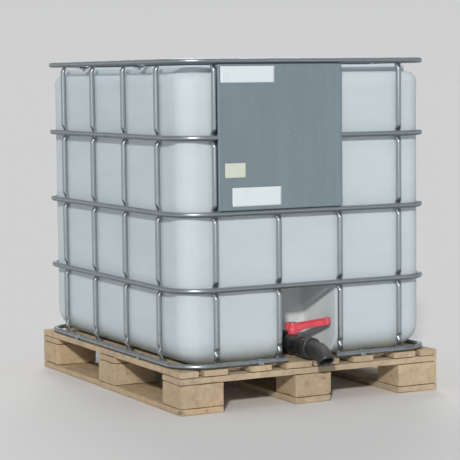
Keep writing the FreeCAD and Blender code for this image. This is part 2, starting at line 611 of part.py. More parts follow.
def lever(stem):
    """The lever: a deep bar on a hub, drawn along +X, then turned to point front and right."""
    body = doc.addObject("PartDesign::Body", "bar")
    side = sketch_on(body, "XZ_Plane", "-lever_width / 2")
    back, hub, tip = -size("lever_back"), size("lever_hub_radius"), size("lever_reach")
    depth, rise = size("lever_depth"), size("lever_rise")
    corners = ((back, 0), (hub, 0), (tip, rise), (tip, rise + depth), (hub, depth), (back, depth))
    for index, corner in enumerate(corners):
        following = corners[(index + 1) % len(corners)]
        side.addGeometry(Part.LineSegment(Vector(*corner), Vector(*following)))
    for index in range(len(corners)):
        constrain(side, "Coincident", index, 2, (index + 1) % len(corners), 1)
    places = (("-lever_back", "0"), ("lever_hub_radius", "0"), ("lever_reach", "lever_rise"),
              ("lever_reach", "lever_rise + lever_depth"), ("lever_hub_radius", "lever_depth"),
              ("-lever_back", "lever_depth"))
    for index, (along, up) in enumerate(places):
        constrain(side, "DistanceX", -1, 1, index, 1, corners[index][0], formula=along)
        constrain(side, "DistanceY", -1, 1, index, 1, corners[index][1], formula=up)
    bar = body.newObject("PartDesign::Pad", "bar")
    bar.Profile = side
    bind(bar, Length="lever_width")
    body.Tip = bar
    turned = copy_of(body, 0, "-stem_y", "lever_bottom", -45)
    hub = rod("lever_hub_radius", "lever_depth", 0, "-stem_y", "lever_bottom")
    shank = rod("lever_screw_radius", "lever_depth", 0, "-stem_y", "lever_bottom")
    skirt = cut(rod("lever_skirt_radius", "lever_bottom + 2 - lever_skirt_bottom", 0, "-stem_y",
                    "lever_skirt_bottom"),
                rod("boss_radius + skirt_clearance", "lever_bottom - lever_skirt_bottom", 0, "-stem_y",
                    "lever_skirt_bottom"))
    node(cut(fuse(turned, hub, skirt), stem, shank), "valve_lever")


def outlet():
    """The union nut and the swivelling spout that it holds on the valve."""
    start = "valve_front + 1"
    lip = f"{start} + spout_collar + 0.2"
    nut = cut(fuse(pipe("outlet_nut_radius", "outlet_nut_back", "outlet_nut_front"),
                   *lugs("outlet_nut_radius - 1", "outlet_nut_back", "outlet_nut_front", OUTLET_NUT_RIB)),
              pipe("thread_radius + thread_clearance", "outlet_nut_back", "valve_front"),
              pipe("spout_collar_radius + thread_clearance", "valve_front - 0.2", lip),
              pipe("pipe_radius + thread_clearance", "outlet_nut_back", "outlet_nut_front"))
    node(nut, "outlet_nut")
    solid, hollow = [], []
    for parts, radius, extra in ((solid, "pipe_radius", "0"), (hollow, "pipe_bore", "0.5")):
        parts.append(pipe(radius, f"{start} - {extra}", "spout_straight"))
        elbow = place(doc.addObject("Part::Torus", "elbow"), 0, "-spout_straight",
                      "pipe_z - spout_bend", BEND_DOWN)
        bind(elbow, Radius1="spout_bend", Radius2=radius, Angle3="spout_angle")
        parts.append(elbow)
        parts.append(tail(radius, f"spout_tail + {extra}", "0"))
    mouth = tail("mouth_radius", "mouth_length", "spout_tail - mouth_length")
    collar = pipe("spout_collar_radius", start, f"{start} + spout_collar")
    node(cut(fuse(*solid, collar, mouth), fuse(*hollow)), "spout")


def tail(radius, length, skip):
    """A cylinder along the spout's last, sloping run, starting a little way down it."""
    angle = math.radians(size("spout_angle"))
    sine, cosine = f"{math.sin(angle):.6f}", f"{math.cos(angle):.6f}"
    slope = Rotation(Vector(1, 0, 0), 90 + size("spout_angle"))
    return rod(radius, length, 0, f"-spout_straight - spout_bend * {sine} - ({skip}) * {cosine}",
               f"pipe_z - spout_bend * (1 - {cosine}) - ({skip}) * {sine}", slope)


def check_and_write():
    """Stop on any failed object, then write each sub-part to its own file."""
    doc.recompute()
    failed = [item.Label for item in doc.Objects if {"Invalid", "Error"} & set(item.State)]
    assert not failed, f"failed objects: {failed}"
    os.makedirs("parts", exist_ok=True)
    for part in NODES:
        assert not part.Shape.isNull() and part.Shape.isValid(), f"bad shape: {part.Label}"
        part.Shape.exportStep(f"parts/{part.Label}.step")
        print(f"{part.Label:20s} {len(part.Shape.Solids):3d} solids {part.Shape.Volume / 1000:10.1f} cm3")
    print(len(NODES), "sub-parts")


pallet()
cage()
crossbars()
clips()
plate()
bottle()
fill_cap()
valve()
outlet()
check_and_write()
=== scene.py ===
"""Intermediate bulk container: the visual model around the CAD frame.

Metres, in the frame of the CAD model: X to the right along the front, -Y towards the viewer, Z up.
"""
import functools
import itertools
import math
import random
import bmesh
import bpy
from mathutils import Matrix, Vector, noise


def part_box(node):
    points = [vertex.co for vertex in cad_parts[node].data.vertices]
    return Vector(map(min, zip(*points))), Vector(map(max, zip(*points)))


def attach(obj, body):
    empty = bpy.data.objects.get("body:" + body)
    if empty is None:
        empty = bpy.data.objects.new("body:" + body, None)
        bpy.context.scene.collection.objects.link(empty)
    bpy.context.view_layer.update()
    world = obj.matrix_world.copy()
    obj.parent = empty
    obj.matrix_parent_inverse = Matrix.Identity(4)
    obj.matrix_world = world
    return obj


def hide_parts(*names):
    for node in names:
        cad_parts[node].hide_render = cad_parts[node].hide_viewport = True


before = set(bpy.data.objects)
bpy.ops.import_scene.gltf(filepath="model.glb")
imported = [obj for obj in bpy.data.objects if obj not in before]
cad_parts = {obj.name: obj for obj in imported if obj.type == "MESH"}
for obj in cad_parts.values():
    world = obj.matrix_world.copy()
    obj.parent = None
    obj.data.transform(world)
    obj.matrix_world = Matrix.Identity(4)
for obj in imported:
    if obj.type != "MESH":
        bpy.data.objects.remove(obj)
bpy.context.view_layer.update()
MM = 0.001
UP = Vector((0, 0, 1))


@functools.cache
def span(node):
    """Lowest corner, highest corner and middle of a CAD node."""
    low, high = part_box(node)
    return low, high, (low + high) / 2


def extent(node):
    """Sizes of a CAD node."""
    low, high, _ = span(node)
    return high - low


# ---------------------------------------------------------------- mesh helpers

def placed(name, data):
    """A new object in the scene."""
    made = bpy.data.objects.new(name, data)
    bpy.context.scene.collection.objects.link(made)
    return made


def mesh_object(name, vertices, faces, material, angle):
    """A new smooth mesh, sharp along edges where faces meet at more than the angle."""
    mesh = bpy.data.meshes.new(name)
    mesh.from_pydata([tuple(vertex) for vertex in vertices], [], faces)
    mesh.validate()
    mesh.materials.append(material)
    edit = bmesh.new()
    edit.from_mesh(mesh)
    bmesh.ops.recalc_face_normals(edit, faces=edit.faces)
    for face in edit.faces:
        face.smooth = True
    for edge in edit.edges:
        if len(edge.link_faces) == 2 and edge.calc_face_angle(0) > math.radians(angle):
            edge.smooth = False
    edit.to_mesh(mesh)
    edit.free()
    return placed(name, mesh)


def install(name, mesh, material, body, slot, *nodes, angle=40):
    """Make a piece, ride it on its body and hide the CAD nodes that it stands for; the slot is not used."""
    piece = mesh_object(name, *mesh, material, angle)
    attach(piece, body)
    if nodes:
        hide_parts(*nodes)
    return piece


def bevelled(piece, width, angle=35):
    """Ease the sharp edges of a piece."""
    modifier = piece.modifiers.new("edges", "BEVEL")
    modifier.width = width
    modifier.segments = 2
    modifier.limit_method = "ANGLE"
    modifier.angle_limit = math.radians(angle)


def thickened(piece, thickness, offset):
    """Make a solid wall of a single skin, on the side that the offset says."""
    modifier = piece.modifiers.new("wall", "SOLIDIFY")
    modifier.thickness = thickness
    modifier.offset = offset


def paint(node, material, ease=None):
    """Give a CAD node that stays visible its material, and ease its edges if asked."""
    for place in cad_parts[node].material_slots:
        place.material = material
    if ease:
        bevelled(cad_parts[node], ease)


def loft(rings, closed=False, cap_start=True, cap_end=True):
    """Vertices and faces of a skin over rings of equally many points."""
    count = len(rings[0])
    vertices = [point for ring in rings for point in ring]
    faces = []
    for step in range(len(rings) if closed else len(rings) - 1):
        here, there = step * count, (step + 1) % len(rings) * count
        for index in range(count):
            following = (index + 1) % count
            faces.append((here + index, here + following, there + following, there + index))
    if not closed and cap_start:
        faces.append(tuple(range(count))[::-1])
    if not closed and cap_end:
        faces.append(tuple(range((len(rings) - 1) * count, len(rings) * count)))
    return vertices, faces


def joined(pieces):
    """One list of vertices and faces from several."""
    vertices, faces = [], []
    for more_vertices, more_faces in pieces:
        base = len(vertices)
        vertices += more_vertices
        faces += [tuple(base + index for index in face) for face in more_faces]
    return vertices, faces


def turns(count):
    """Evenly spread angles of a full turn."""
    return [step * math.tau / count for step in range(count)]


def ellipse(centre, across, other, count):
    """Points round a centre, from the end of across towards the end of other."""
    return [centre + across * math.cos(t) + other * math.sin(t) for t in turns(count)]


def turned_ring(centre, axis, across, radius, count, bump=None):
    """Points of a circle about an axis, starting at the across direction; bump adds to the radius."""
    other = axis.cross(across)
    points = []
    for t in turns(count):
        reach = radius + (bump(t) if bump else 0)
        points.append(centre + (across * math.cos(t) + other * math.sin(t)) * reach * MM)
    return points


def lathe(profile, origin, axis=UP, count=64, bump=None, closed=False, caps=(True, True)):
    """A turned form; profile has radii and distances along the axis and bump adds to a radius, in mm."""
    across = Vector((1, 0, 0)) if abs(axis.x) < 0.9 else Vector((0, 1, 0))
    rings = []
    for radius, distance in profile:
        shape = functools.partial(bump, radius, distance) if bump else None
        centre = Vector(origin) + axis * distance * MM
        rings.append(turned_ring(centre, axis, across, radius, count, shape))
    return loft(rings, closed, *caps)


def arc(centre_x, centre_y, radius, start, end, steps):
    """Points of an arc, angles in degrees."""
    angles = [math.radians(start + (end - start) * step / steps) for step in range(steps + 1)]
    return [(centre_x + radius * math.cos(t), centre_y + radius * math.sin(t)) for t in angles]


def between(start, end, steps):
    """The points strictly between two points."""
    return [start.lerp(end, step / steps) for step in range(1, steps)]


def smooth(value):
    """A soft step from 0 to 1."""
    value = min(1, max(0, value))
    return value * value * (3 - 2 * value)


# ---------------------------------------------------------------- materials

class Shader:
    """A node material that is built one call at a time."""

    def __init__(self, name):
        self.material = bpy.data.materials.new(name)
        self.material.use_nodes = True
        self.tree = self.material.node_tree
        self.surface = self.tree.nodes["Principled BSDF"]
        self.where = self.add("ShaderNodeTexCoord").outputs["Object"]

    def add(self, kind, inputs=None, **settings):
        node = self.tree.nodes.new(kind)
        for name, value in settings.items():
            setattr(node, name, value)
        for name, value in (inputs or {}).items():
            self.feed(node, name, value)
        return node

    def feed(self, node, name, value):
        if isinstance(value, bpy.types.NodeSocket):
            self.tree.links.new(value, node.inputs[name])
        else:
            node.inputs[name].default_value = value

    def set(self, **inputs):
        for name, value in inputs.items():
            self.feed(self.surface, name.replace("_", " "), value)

    def field(self, kind, output, vector, **inputs):
        """An output of a node that is fed with a place, which is the place on the piece if none is given."""
        return self.add(kind, {"Vector": vector or self.where, **inputs}).outputs[output]

    def stretched(self, scale, vector=None):
        """The place with each axis scaled."""
        return self.field("ShaderNodeMapping", "Vector", vector, Scale=scale)

    def noise(self, scale, detail=3, roughness=0.5, vector=None, output="Fac"):
        inputs = {"Scale": scale, "Detail": detail, "Roughness": roughness}
        return self.field("ShaderNodeTexNoise", output, vector, **inputs)

    def patches(self, scale, detail, roughness, start, end, most=1.0, vector=None):
        """Noise that gives nothing below the start level and the most at the end level."""
        return self.ramp(self.noise(scale, detail, roughness, vector), (start, 0.0), (end, most))

    def cells(self, scale, vector=None):
        return self.field("ShaderNodeTexVoronoi", "Distance", vector, Scale=scale)

    def ramp(self, value, *stops):
        """Map a value through stops of (position, grey level or colour)."""
        node = self.add("ShaderNodeValToRGB", {"Fac": value})
        set_stops(node.color_ramp.elements, stops)
        return node.outputs["Color"]

    def mix(self, share, first, second):
        """Blend two colours or sockets by a share."""
        node = self.add("ShaderNodeMix", data_type="RGBA")
        for index, value in ((0, share), (6, first), (7, second)):
            self.feed(node, index, (*value, 1) if isinstance(value, tuple) else value)
        return node.outputs[2]

    def layered(self, base, *coats):
        """Lay coats of (share, colour) over a base colour."""
        return functools.reduce(lambda under, coat: self.mix(coat[0], under, coat[1]), coats, base)

    def math(self, operation, first, second=0.0):
        return self.add("ShaderNodeMath", {0: first, 1: second}, operation=operation).outputs[0]

    def times(self, first, second):
        return self.math("MULTIPLY", first, second)

    def along(self, operation, inputs, output="Vector"):
        return self.add("ShaderNodeVectorMath", inputs, operation=operation).outputs[output]

    def attribute(self, name):
        return self.add("ShaderNodeAttribute", attribute_name=name).outputs["Vector"]

    def axes(self, vector=None):
        return self.add("ShaderNodeSeparateXYZ", {"Vector": vector or self.where}).outputs

    def facing(self):
        """The surface normal's components."""
        return self.axes(self.add("ShaderNodeNewGeometry").outputs["Normal"])

    def bump(self, height, distance, strength=1.0):
        node = self.add("ShaderNodeBump", {"Height": height, "Distance": distance, "Strength": strength})
        self.set(Normal=node.outputs["Normal"])


def set_stops(elements, stops):
    """Fill a colour ramp with stops of (position, grey level or colour)."""
    while len(elements) < len(stops):
        elements.new(0.5)
    for element, (position, level) in zip(elements, stops):
        element.position = position
        element.color = (*level, 1) if isinstance(level, tuple) else (level, level, level, 1)


def galvanised():
    """Zinc-coated tube: soft spangle, dull patches of white rust, a little grime low down and painted shade
    on faces that point down.
    """
    zinc = Shader("galvanised tube")
    spangle = zinc.ramp(zinc.cells(170), (0, 0.3), (0.75, 0.7))
    dull = zinc.patches(9, 6, 0.62, 0.45, 0.72)
    low = zinc.ramp(zinc.axes()["Z"], (0.15, 1.0), (0.32, 0.0))
    grime = zinc.times(low, zinc.patches(60, 5, 0.7, 0.45, 0.7, 0.8))
    # Painted shade: faces that point down are darkened, standing in for shade and a dark reflection on the
    # undersides of the tubes.
    tilt = zinc.times(zinc.math("ADD", zinc.facing()["Z"], 1.0), 0.5)
    under = zinc.ramp(tilt, (0.12, 0.85), (0.36, 0.7), (0.49, 0.0))
    base = zinc.mix(spangle, (0.29, 0.33, 0.35), (0.45, 0.495, 0.52))
    base = zinc.layered(base, (dull, (0.37, 0.41, 0.43)), (under, (0.12, 0.14, 0.145)),
                        (grime, (0.20, 0.185, 0.165)))
    zinc.set(Base_Color=base, Metallic=0.88, Roughness=zinc.ramp(dull, (0, 0.34), (1, 0.5)))
    zinc.bump(zinc.noise(260, 3, 0.6), 0.0002, 0.2)
    return zinc.material


def weld_metal():
    """Burnt zinc at a resistance weld: darker and rougher."""
    weld = Shader("weld")
    tone = weld.ramp(weld.noise(300, 4), (0.35, (0.16, 0.155, 0.15)), (0.7, (0.42, 0.43, 0.43)))
    weld.set(Base_Color=tone, Metallic=0.75, Roughness=0.55)
    weld.bump(weld.noise(500, 3), 0.0004, 0.6)
    return weld.material


def sheet_steel():
    """Galvanised sheet of the marking plate: blue-grey, with faint spangle and soft streaks."""
    sheet = Shader("marking plate")
    spangle = sheet.ramp(sheet.cells(95), (0, 0.3), (0.8, 0.7))
    streaks = sheet.noise(1, 5, 0.6, sheet.stretched((26, 26, 2.2)))
    base = sheet.mix(spangle, (0.185, 0.240, 0.272), (0.218, 0.278, 0.312))
    base = sheet.layered(base, (sheet.ramp(streaks, (0.35, 0.0), (0.75, 0.5)), (0.255, 0.318, 0.352)),
                         (sheet.patches(3.1, 4, 0.55, 0.4, 0.75, 0.45), (0.175, 0.224, 0.252)))
    sheet.set(Base_Color=base, Metallic=0.3, Roughness=sheet.ramp(streaks, (0.3, 0.36), (0.8, 0.52)))
    sheet.bump(sheet.noise(1, 3, 0.5, sheet.stretched((5, 5, 3))), 0.004, 0.25)
    return sheet.material


def bottle_plastic():
    """Translucent polyethylene: milky, faintly blue, with soft flow streaks and painted light in the niche,
    which is made paler as if lit through the walls.
    """
    plastic = Shader("bottle plastic")
    flow = plastic.patches(1, 4, 0.55, 0.35, 0.72, 1.0, plastic.stretched((2.5, 2.5, 9)))
    cloud = plastic.patches(2.2, 3, 0.5, 0.4, 0.8, 0.5)
    scuffs = plastic.noise(1, 8, 0.75, plastic.stretched((14, 14, 5)))
    place = plastic.axes()
    # Painted light: the faces inside the valve niche are made paler, standing in for light that comes through
    # the translucent walls.
    behind = plastic.math("ADD", place["Y"], 1.0)
    deep = plastic.ramp(behind, (0.485, 0.0), (0.53, 0.8), (0.63, 0.8), (0.645, 0.0))
    inside = plastic.ramp(plastic.math("ABSOLUTE", place["X"]), (0.116, 1.0), (0.122, 0.0))
    low = plastic.ramp(place["Z"], (0.41, 1.0), (0.42, 0.0))
    niche = plastic.times(plastic.times(deep, inside), low)
    base = plastic.mix(flow, (0.665, 0.76, 0.80), (0.735, 0.83, 0.865))
    base = plastic.layered(base, (cloud, (0.645, 0.735, 0.785)),
                           (plastic.ramp(scuffs, (0.66, 0.0), (0.8, 0.35)), (0.50, 0.52, 0.52)),
                           (niche, (0.86, 0.91, 0.91)))
    plastic.set(Base_Color=base, Roughness=plastic.ramp(scuffs, (0.3, 0.52), (0.8, 0.68)))
    plastic.set(Specular_IOR_Level=0.2)
    plastic.set(Subsurface_Weight=0.35, Subsurface_Radius=(0.012, 0.014, 0.015), Subsurface_Scale=1.0)
    plastic.bump(plastic.noise(240, 2, 0.5), 0.0003, 0.12)
    glow = plastic.add("ShaderNodeBsdfTranslucent", {"Color": (0.74, 0.84, 0.88, 1)})
    both = plastic.add("ShaderNodeMixShader", {0: 0.22, 1: plastic.surface.outputs[0], 2: glow.outputs[0]})
    plastic.feed(plastic.tree.nodes["Material Output"], "Surface", both.outputs[0])
    return plastic.material


def moulded(name, colour, roughness, top_dust_and_painted_light=0.0, gloss=0.4):
    """A moulded plastic: fine grain, slight fading, and a paler tone on what faces up that is partly a dusty
    film and partly painted top light.
    """
    part = Shader(name)
    faded = tuple(min(1, level * 1.35 + 0.01) for level in colour)
    tone = part.mix(part.patches(35, 5, 0.6, 0.4, 0.75, 0.6), colour, faded)
    # Painted light: faces that point up are made paler, partly a dusty film and partly a painted top
    # highlight.
    up = part.ramp(part.facing()["Z"], (0.45, 0.0), (1.0, top_dust_and_painted_light))
    painted_light_and_dusty_top = part.times(up, part.ramp(part.noise(90, 6, 0.7), (0.35, 0.25), (0.7, 1.0)))
    part.set(Base_Color=part.mix(painted_light_and_dusty_top, tone, (0.30, 0.285, 0.26)), Specular_IOR_Level=gloss)
    worn = part.ramp(part.noise(60, 4), (0.3, roughness - 0.06), (0.7, roughness + 0.1))
    part.set(Roughness=part.mix(up, worn, (0.75, 0.75, 0.75)))
    part.bump(part.noise(900, 2), 0.00012, 0.35)
    return part.material


def rubber():
    """Black rubber of gaskets and seals."""
    seal = Shader("seal rubber")
    seal.set(Base_Color=seal.ramp(seal.noise(80), (0.3, 0.012), (0.8, 0.03)), Roughness=0.75)
    seal.bump(seal.noise(1200, 2), 0.0001, 0.4)
    return seal.material


def zinc_plate():
    """Bright zinc on bolts and screws, with a little rust in places."""
    plate = Shader("zinc fastener")
    rust = plate.patches(140, 6, 0.7, 0.58, 0.74, 0.8)
    plate.set(Base_Color=plate.mix(rust, (0.62, 0.62, 0.60), (0.23, 0.10, 0.045)))
    plate.set(Metallic=plate.ramp(rust, (0, 0.9), (1, 0.2)), Roughness=plate.ramp(rust, (0, 0.35), (1, 0.8)))
    plate.bump(plate.noise(700, 3), 0.0002, 0.4)
    return plate.material


def nail_steel():
    """Rusty steel of nail heads."""
    steel = Shader("nail steel")
    tone = steel.ramp(steel.noise(260, 5, 0.7), (0.35, (0.20, 0.19, 0.18)), (0.62, (0.17, 0.085, 0.045)))
    steel.set(Base_Color=tone, Metallic=0.55, Roughness=0.62)
    return steel.material


def paper(name, colour):
    """Blank label stock, slightly creased and dirty in places."""
    label = Shader(name)
    smudge = label.patches(38, 6, 0.65, 0.5, 0.85, 0.35)
    label.set(Base_Color=label.mix(smudge, colour, tuple(level * 0.72 for level in colour)), Roughness=0.62)
    label.bump(label.noise(30, 4, 0.6), 0.0004, 0.3)
    return label.material


def timber():
    """Sawn pine, cut from a solid: rings on the ends and grain along the faces.

    The grain attribute holds the place in the trunk: x and y across it, z along it.
    """
    wood = Shader("sawn pine")
    grain = wood.attribute("grain")
    wander = wood.noise(1, 3, 0.5, wood.stretched((5, 5, 1.4), grain), "Color")
    drift = wood.along("SUBTRACT", {0: wander, 1: (0.5, 0.5, 0.5)})
    bent = wood.along("ADD", {0: grain, 1: wood.along("SCALE", {0: drift, "Scale": 0.035})})
    radius = wood.along("LENGTH", {0: wood.stretched((1, 1, 0), bent)}, "Value")
    rings = wood.math("FRACT", wood.times(radius, 210))
    season = wood.ramp(rings, (0.0, 0.05), (0.62, 0.35), (0.9, 1.0), (1.0, 0.15))
    fibre = wood.noise(1, 5, 0.6, wood.stretched((420, 420, 14), grain))
    own = wood.axes(wood.attribute("board"))
    knots = wood.cells(1, wood.stretched((11, 11, 3.2), bent))
    knot = wood.ramp(knots, (0.01, 0.9), (0.06, 0.6), (0.10, 0.0))
    stain = wood.patches(6, 7, 0.7, 0.44, 0.72, 0.75)
    mottle = wood.patches(34, 6, 0.7, 0.48, 0.72, 0.55)
    pale = wood.patches(19, 5, 0.65, 0.55, 0.75, 0.4)
    specks = wood.patches(120, 5, 0.75, 0.58, 0.74, 0.6)
    base = wood.mix(wood.times(season, 0.62), (0.53, 0.395, 0.235), (0.36, 0.237, 0.118))
    base = wood.layered(base, (wood.ramp(fibre, (0.35, 0.0), (0.7, 0.5)), (0.64, 0.495, 0.335)),
                        (wood.times(own["X"], 0.35), (0.42, 0.30, 0.185)),
                        (wood.times(own["Y"], 0.30), (0.56, 0.50, 0.41)), (knot, (0.17, 0.095, 0.05)),
                        (stain, (0.34, 0.275, 0.205)), (mottle, (0.235, 0.175, 0.12)),
                        (pale, (0.62, 0.57, 0.47)), (specks, (0.22, 0.165, 0.115)))
    wood.set(Base_Color=base, Roughness=0.78, Specular_IOR_Level=0.25)
    wood.bump(wood.math("ADD", wood.times(season, 0.35), fibre), 0.0011, 0.6)
    return wood.material


galvanised_tube = galvanised()
weld = weld_metal()
plate_steel = sheet_steel()
milky_plastic = bottle_plastic()
black_plastic = moulded("black plastic", (0.011, 0.012, 0.013), 0.4, 0.4, 0.5)
nut_plastic = moulded("grey-black plastic", (0.022, 0.024, 0.025), 0.34, 0.6, 0.6)
red_plastic = moulded("red plastic", (0.66, 0.078, 0.105), 0.36, 0.14)
seal_rubber = rubber()
zinc_fastener = zinc_plate()
rusty_steel = nail_steel()
white_paper = paper("white label", (0.66, 0.73, 0.76))
cream_paper = paper("cream label", (0.60, 0.635, 0.555))
pine = timber()


# ---------------------------------------------------------------- pallet

WEAR, GRID, LONG_GRID = 1.6 * MM, 14 * MM, 2.2
CHIPS, CHIP_REACH, CHIP_BITE = 5, (6 * MM, 13 * MM), (1.5 * MM, 4 * MM)
FIRST_SEED, SEED_STEP, TINT_SHIFT = 11, 7, 500


def lattice(low, high, counts):
    """Vertices and quads of a box whose faces are divided into a grid."""
    index, vertices, faces = {}, [], []

    def at(place):
        if place not in index:
            index[place] = len(vertices)
            vertices.append(Vector([low[k] + (high[k] - low[k]) * place[k] / counts[k] for k in range(3)]))
        return index[place]

    for axis in range(3):
        one, two = [k for k in range(3) if k != axis]
        for end, i, j in itertools.product((0, counts[axis]), range(counts[one]), range(counts[two])):
            quad = []
            for di, dj in ((0, 0), (1, 0), (1, 1), (0, 1)):
                place = {axis: end, one: i + di, two: j + dj}
                quad.append(at((place[0], place[1], place[2])))
            faces.append(tuple(quad if end else quad[::-1]))
    return vertices, faces


def plank(low, high, along, seed):
    """One sawn board: uneven faces, worn edges and a chip here and there. Also its grain places."""
    rng = random.Random(seed)
    extent, middle = high - low, (low + high) / 2
    counts = [max(2, round(extent[k] / (GRID * (LONG_GRID if k == along else 1)))) for k in range(3)]
    vertices, faces = lattice(low, high, counts)
    shift = Vector([rng.uniform(-40, 40) for _ in range(3)])
    across = [k for k in range(3) if k != along]
    pith = [rng.uniform(*reach) * rng.choice((-1, 1)) for reach in ((0.02, 0.09), (0.03, 0.11))]
    chips = []
    for _ in range(CHIPS):
        place = middle.copy()
        place[along] += rng.uniform(-0.5, 0.5) * extent[along]
        for k in across:
            place[k] += rng.choice((-0.5, 0.5)) * extent[k]
        chips.append((place, rng.uniform(*CHIP_REACH), rng.uniform(*CHIP_BITE)))
    grain = []
    for vertex in vertices:
        offset = vertex - middle
        grain.append([offset[k] + aside for k, aside in zip(across + [along], pith + [shift.z * 0.1])])
        on = [abs(abs(offset[k]) - extent[k] / 2) < 1e-6 for k in range(3)]
        sway, rough = noise.noise(vertex * 9 + shift), noise.noise(vertex * 70 + shift)
        for k in range(3):
            if not on[k]:
                continue
            depth = 0.0004 * (1 + sway) + 0.00025 * (1 + rough)
            if sum(on) > 1:
                depth += WEAR * (0.35 + max(0, noise.noise(vertex * 22 - shift)))
            for place, reach, bite in chips:
                depth += bite * math.exp(-((vertex - place).length / reach) ** 2)
            vertex[k] -= math.copysign(depth, offset[k])
    return vertices, faces, grain


def timber_piece(name, boards, node):
    """A piece made of planks (low, high, grain axis, seed) that stands for one CAD node."""
    parts, grain, tint = [], [], []
    for low, high, along, seed in boards:
        vertices, faces, places = plank(low, high, along, seed)
        parts.append((vertices, faces))
        grain += places
        rng = random.Random(seed + TINT_SHIFT)
        tint += [(rng.random(), rng.random(), 0)] * len(vertices)
    piece = install(name, joined(parts), pine, "root", "timber", node, angle=50)
    for attribute, values in (("grain", grain), ("board", tint)):
        layer = piece.data.attributes.new(attribute, "FLOAT_VECTOR", "POINT")
        layer.data.foreach_set("vector", [number for value in values for number in value])
    bevelled(piece, 1.1 * MM, angle=50)


def pallet():
    """Runners and deck boards run along Y, stringers along X; the blocks are one piece."""
    seeds = itertools.count(FIRST_SEED, SEED_STEP)
    boards = [f"runner_{place}" for place in ("left", "centre", "right")]
    boards += [f"deck_board_{number}" for number in range(1, 9)]
    boards += [f"stringer_{place}" for place in ("front", "middle", "back")]
    for node in boards:
        low, high, _ = span(node)
        timber_piece(f"plank_{node}", [(low, high, 0 if "stringer" in node else 1, next(seeds))], node)
    low, high, _ = span("pallet_blocks")
    side, centre = extent("runner_left").x, extent("runner_centre").x
    depth = extent("stringer_front").y
    blocks = []
    for x, width in ((low.x, side), (-centre / 2, centre), (high.x - side, side)):
        for y in (low.y, -depth / 2, high.y - depth):
            blocks.append((Vector((x, y, low.z)), Vector((x + width, y + depth, high.z)), 1, next(seeds)))
    timber_piece("block_set", blocks, "pallet_blocks")
    paint("pallet_nails", rusty_steel)


# ---------------------------------------------------------------- cage

TUBE, TUBE_WALL, RING_CORNER, OPENING = 9 * MM, 1 * MM, 112 * MM, 95 * MM
RING_NAMES = ("bottom", "lower", "middle", "upper", "top")
RING_LEVELS = [span(f"ring_{name}")[2].z for name in RING_NAMES]
RING_REACH = span("ring_top")[1] - Vector((TUBE, TUBE, 0))
FACES = {"front": Vector((0, -1, 0)), "back": Vector((0, 1, 0)),
         "left": Vector((-1, 0, 0)), "right": Vector((1, 0, 0))}
TUBE_SIDES, RING_BORE, TUBE_BORE = 24, 30 * MM, 20 * MM


def ring_path(opening):
    """Places along a ring from its front opening round to the other side of it."""
    x, y, r = RING_REACH.x, RING_REACH.y, RING_CORNER
    path = [Vector((opening, -y))]
    bends = ((x - r, r - y, -90, 6), (x - r, y - r, 0, 16), (r - x, y - r, 90, 12), (r - x, r - y, 180, 16))
    for cx, cy, start, steps in bends:
        bend = [Vector(place) for place in arc(cx, cy, r, start, start + 90, 18)]
        path += between(path[-1], bend[0], steps) + bend
    end = Vector((-opening, -y))
    return path + between(path[-1], end, 6) + [end]


def ring_mesh(level, opening):
    """One cage ring swept round its path; an open ring shows its hollow ends."""
    path = ring_path(opening)
    if not opening:
        path.pop()
    rings = []
    for index, place in enumerate(path):
        before = path[index - 1] if index or not opening else place
        after = path[(index + 1) % len(path)] if index < len(path) - 1 or not opening else place
        along = (after - before).normalized()
        outward = Vector((along.y, -along.x, 0))
        rings.append(ellipse(Vector((*place, level)), outward * TUBE, UP * TUBE, TUBE_SIDES))
    return loft(hollow_ends(rings, RING_BORE)) if opening else loft(rings, closed=True)


def hollow_ends(rings, depth):
    """Turn both open ends of a tube inwards, so that its wall and bore show."""
    def end(ring, neighbour):
        centre = sum(ring, Vector()) / len(ring)
        inward = (sum(neighbour, Vector()) - sum(ring, Vector())).normalized() * depth
        bore = [centre + (point - centre) * (1 - TUBE_WALL / TUBE) for point in ring]
        return [[point + inward for point in bore], bore]

    return end(rings[0], rings[1]) + rings + end(rings[-1], rings[-2])[::-1]


DENT_FLAT, DENT_RUN = 9.5 * MM, 29 * MM
UPRIGHT_ROUND = (9 * MM, 9 * MM, 8 * MM)
UPRIGHT_DENT = (5 * MM, 11 * MM, 14.5 * MM)
FOOT_TOP, FOOT_FLAT, FOOT_RUN = 64 * MM, 10 * MM, 22 * MM
WAIST, WAIST_LEVEL, WAIST_RUN = 0.55, 46 * MM, 13 * MM


def upright_section(z):
    """Half depth, half width and setback of an upright at a height: pressed in behind every ring."""
    share = 1.0
    for level in RING_LEVELS[1:]:
        share = min(share, smooth((abs(z - level) - DENT_FLAT) / (DENT_RUN - DENT_FLAT)))
    above = z - RING_LEVELS[0]
    if above < FOOT_TOP:
        waist = WAIST * (1 - smooth(abs(above - WAIST_LEVEL) / WAIST_RUN))
        share = min(share, smooth((above - FOOT_FLAT) / FOOT_RUN)) - waist
    return [dent + (full - dent) * share for full, dent in zip(UPRIGHT_ROUND, UPRIGHT_DENT)]


def upright_mesh(face, node):
    """One upright; its sections are closer together where they change."""
    low, high, middle = span(node)
    outward = FACES[face]
    along = UP.cross(outward)
    reach = abs(outward.dot(RING_REACH))
    heights = {low.z, high.z} | {low.z + step * 2.6 * MM for step in range(30)}
    heights |= {level + step * 3 * MM for level in RING_LEVELS[1:] for step in range(-10, 11)}
    rings = []
    for z in sorted(z for z in heights if low.z <= z <= high.z):
        depth, width, setback = upright_section(z)
        centre = along * middle.dot(along) + outward * (reach - setback) + UP * z
        rings.append(ellipse(centre, along * width, -outward * depth, TUBE_SIDES))
    return loft(hollow_ends(rings, TUBE_BORE))


WELD_RADIUS, WELD_SETBACK, WELD_SIDE = 3.6 * MM, 9.4 * MM, 7 * MM


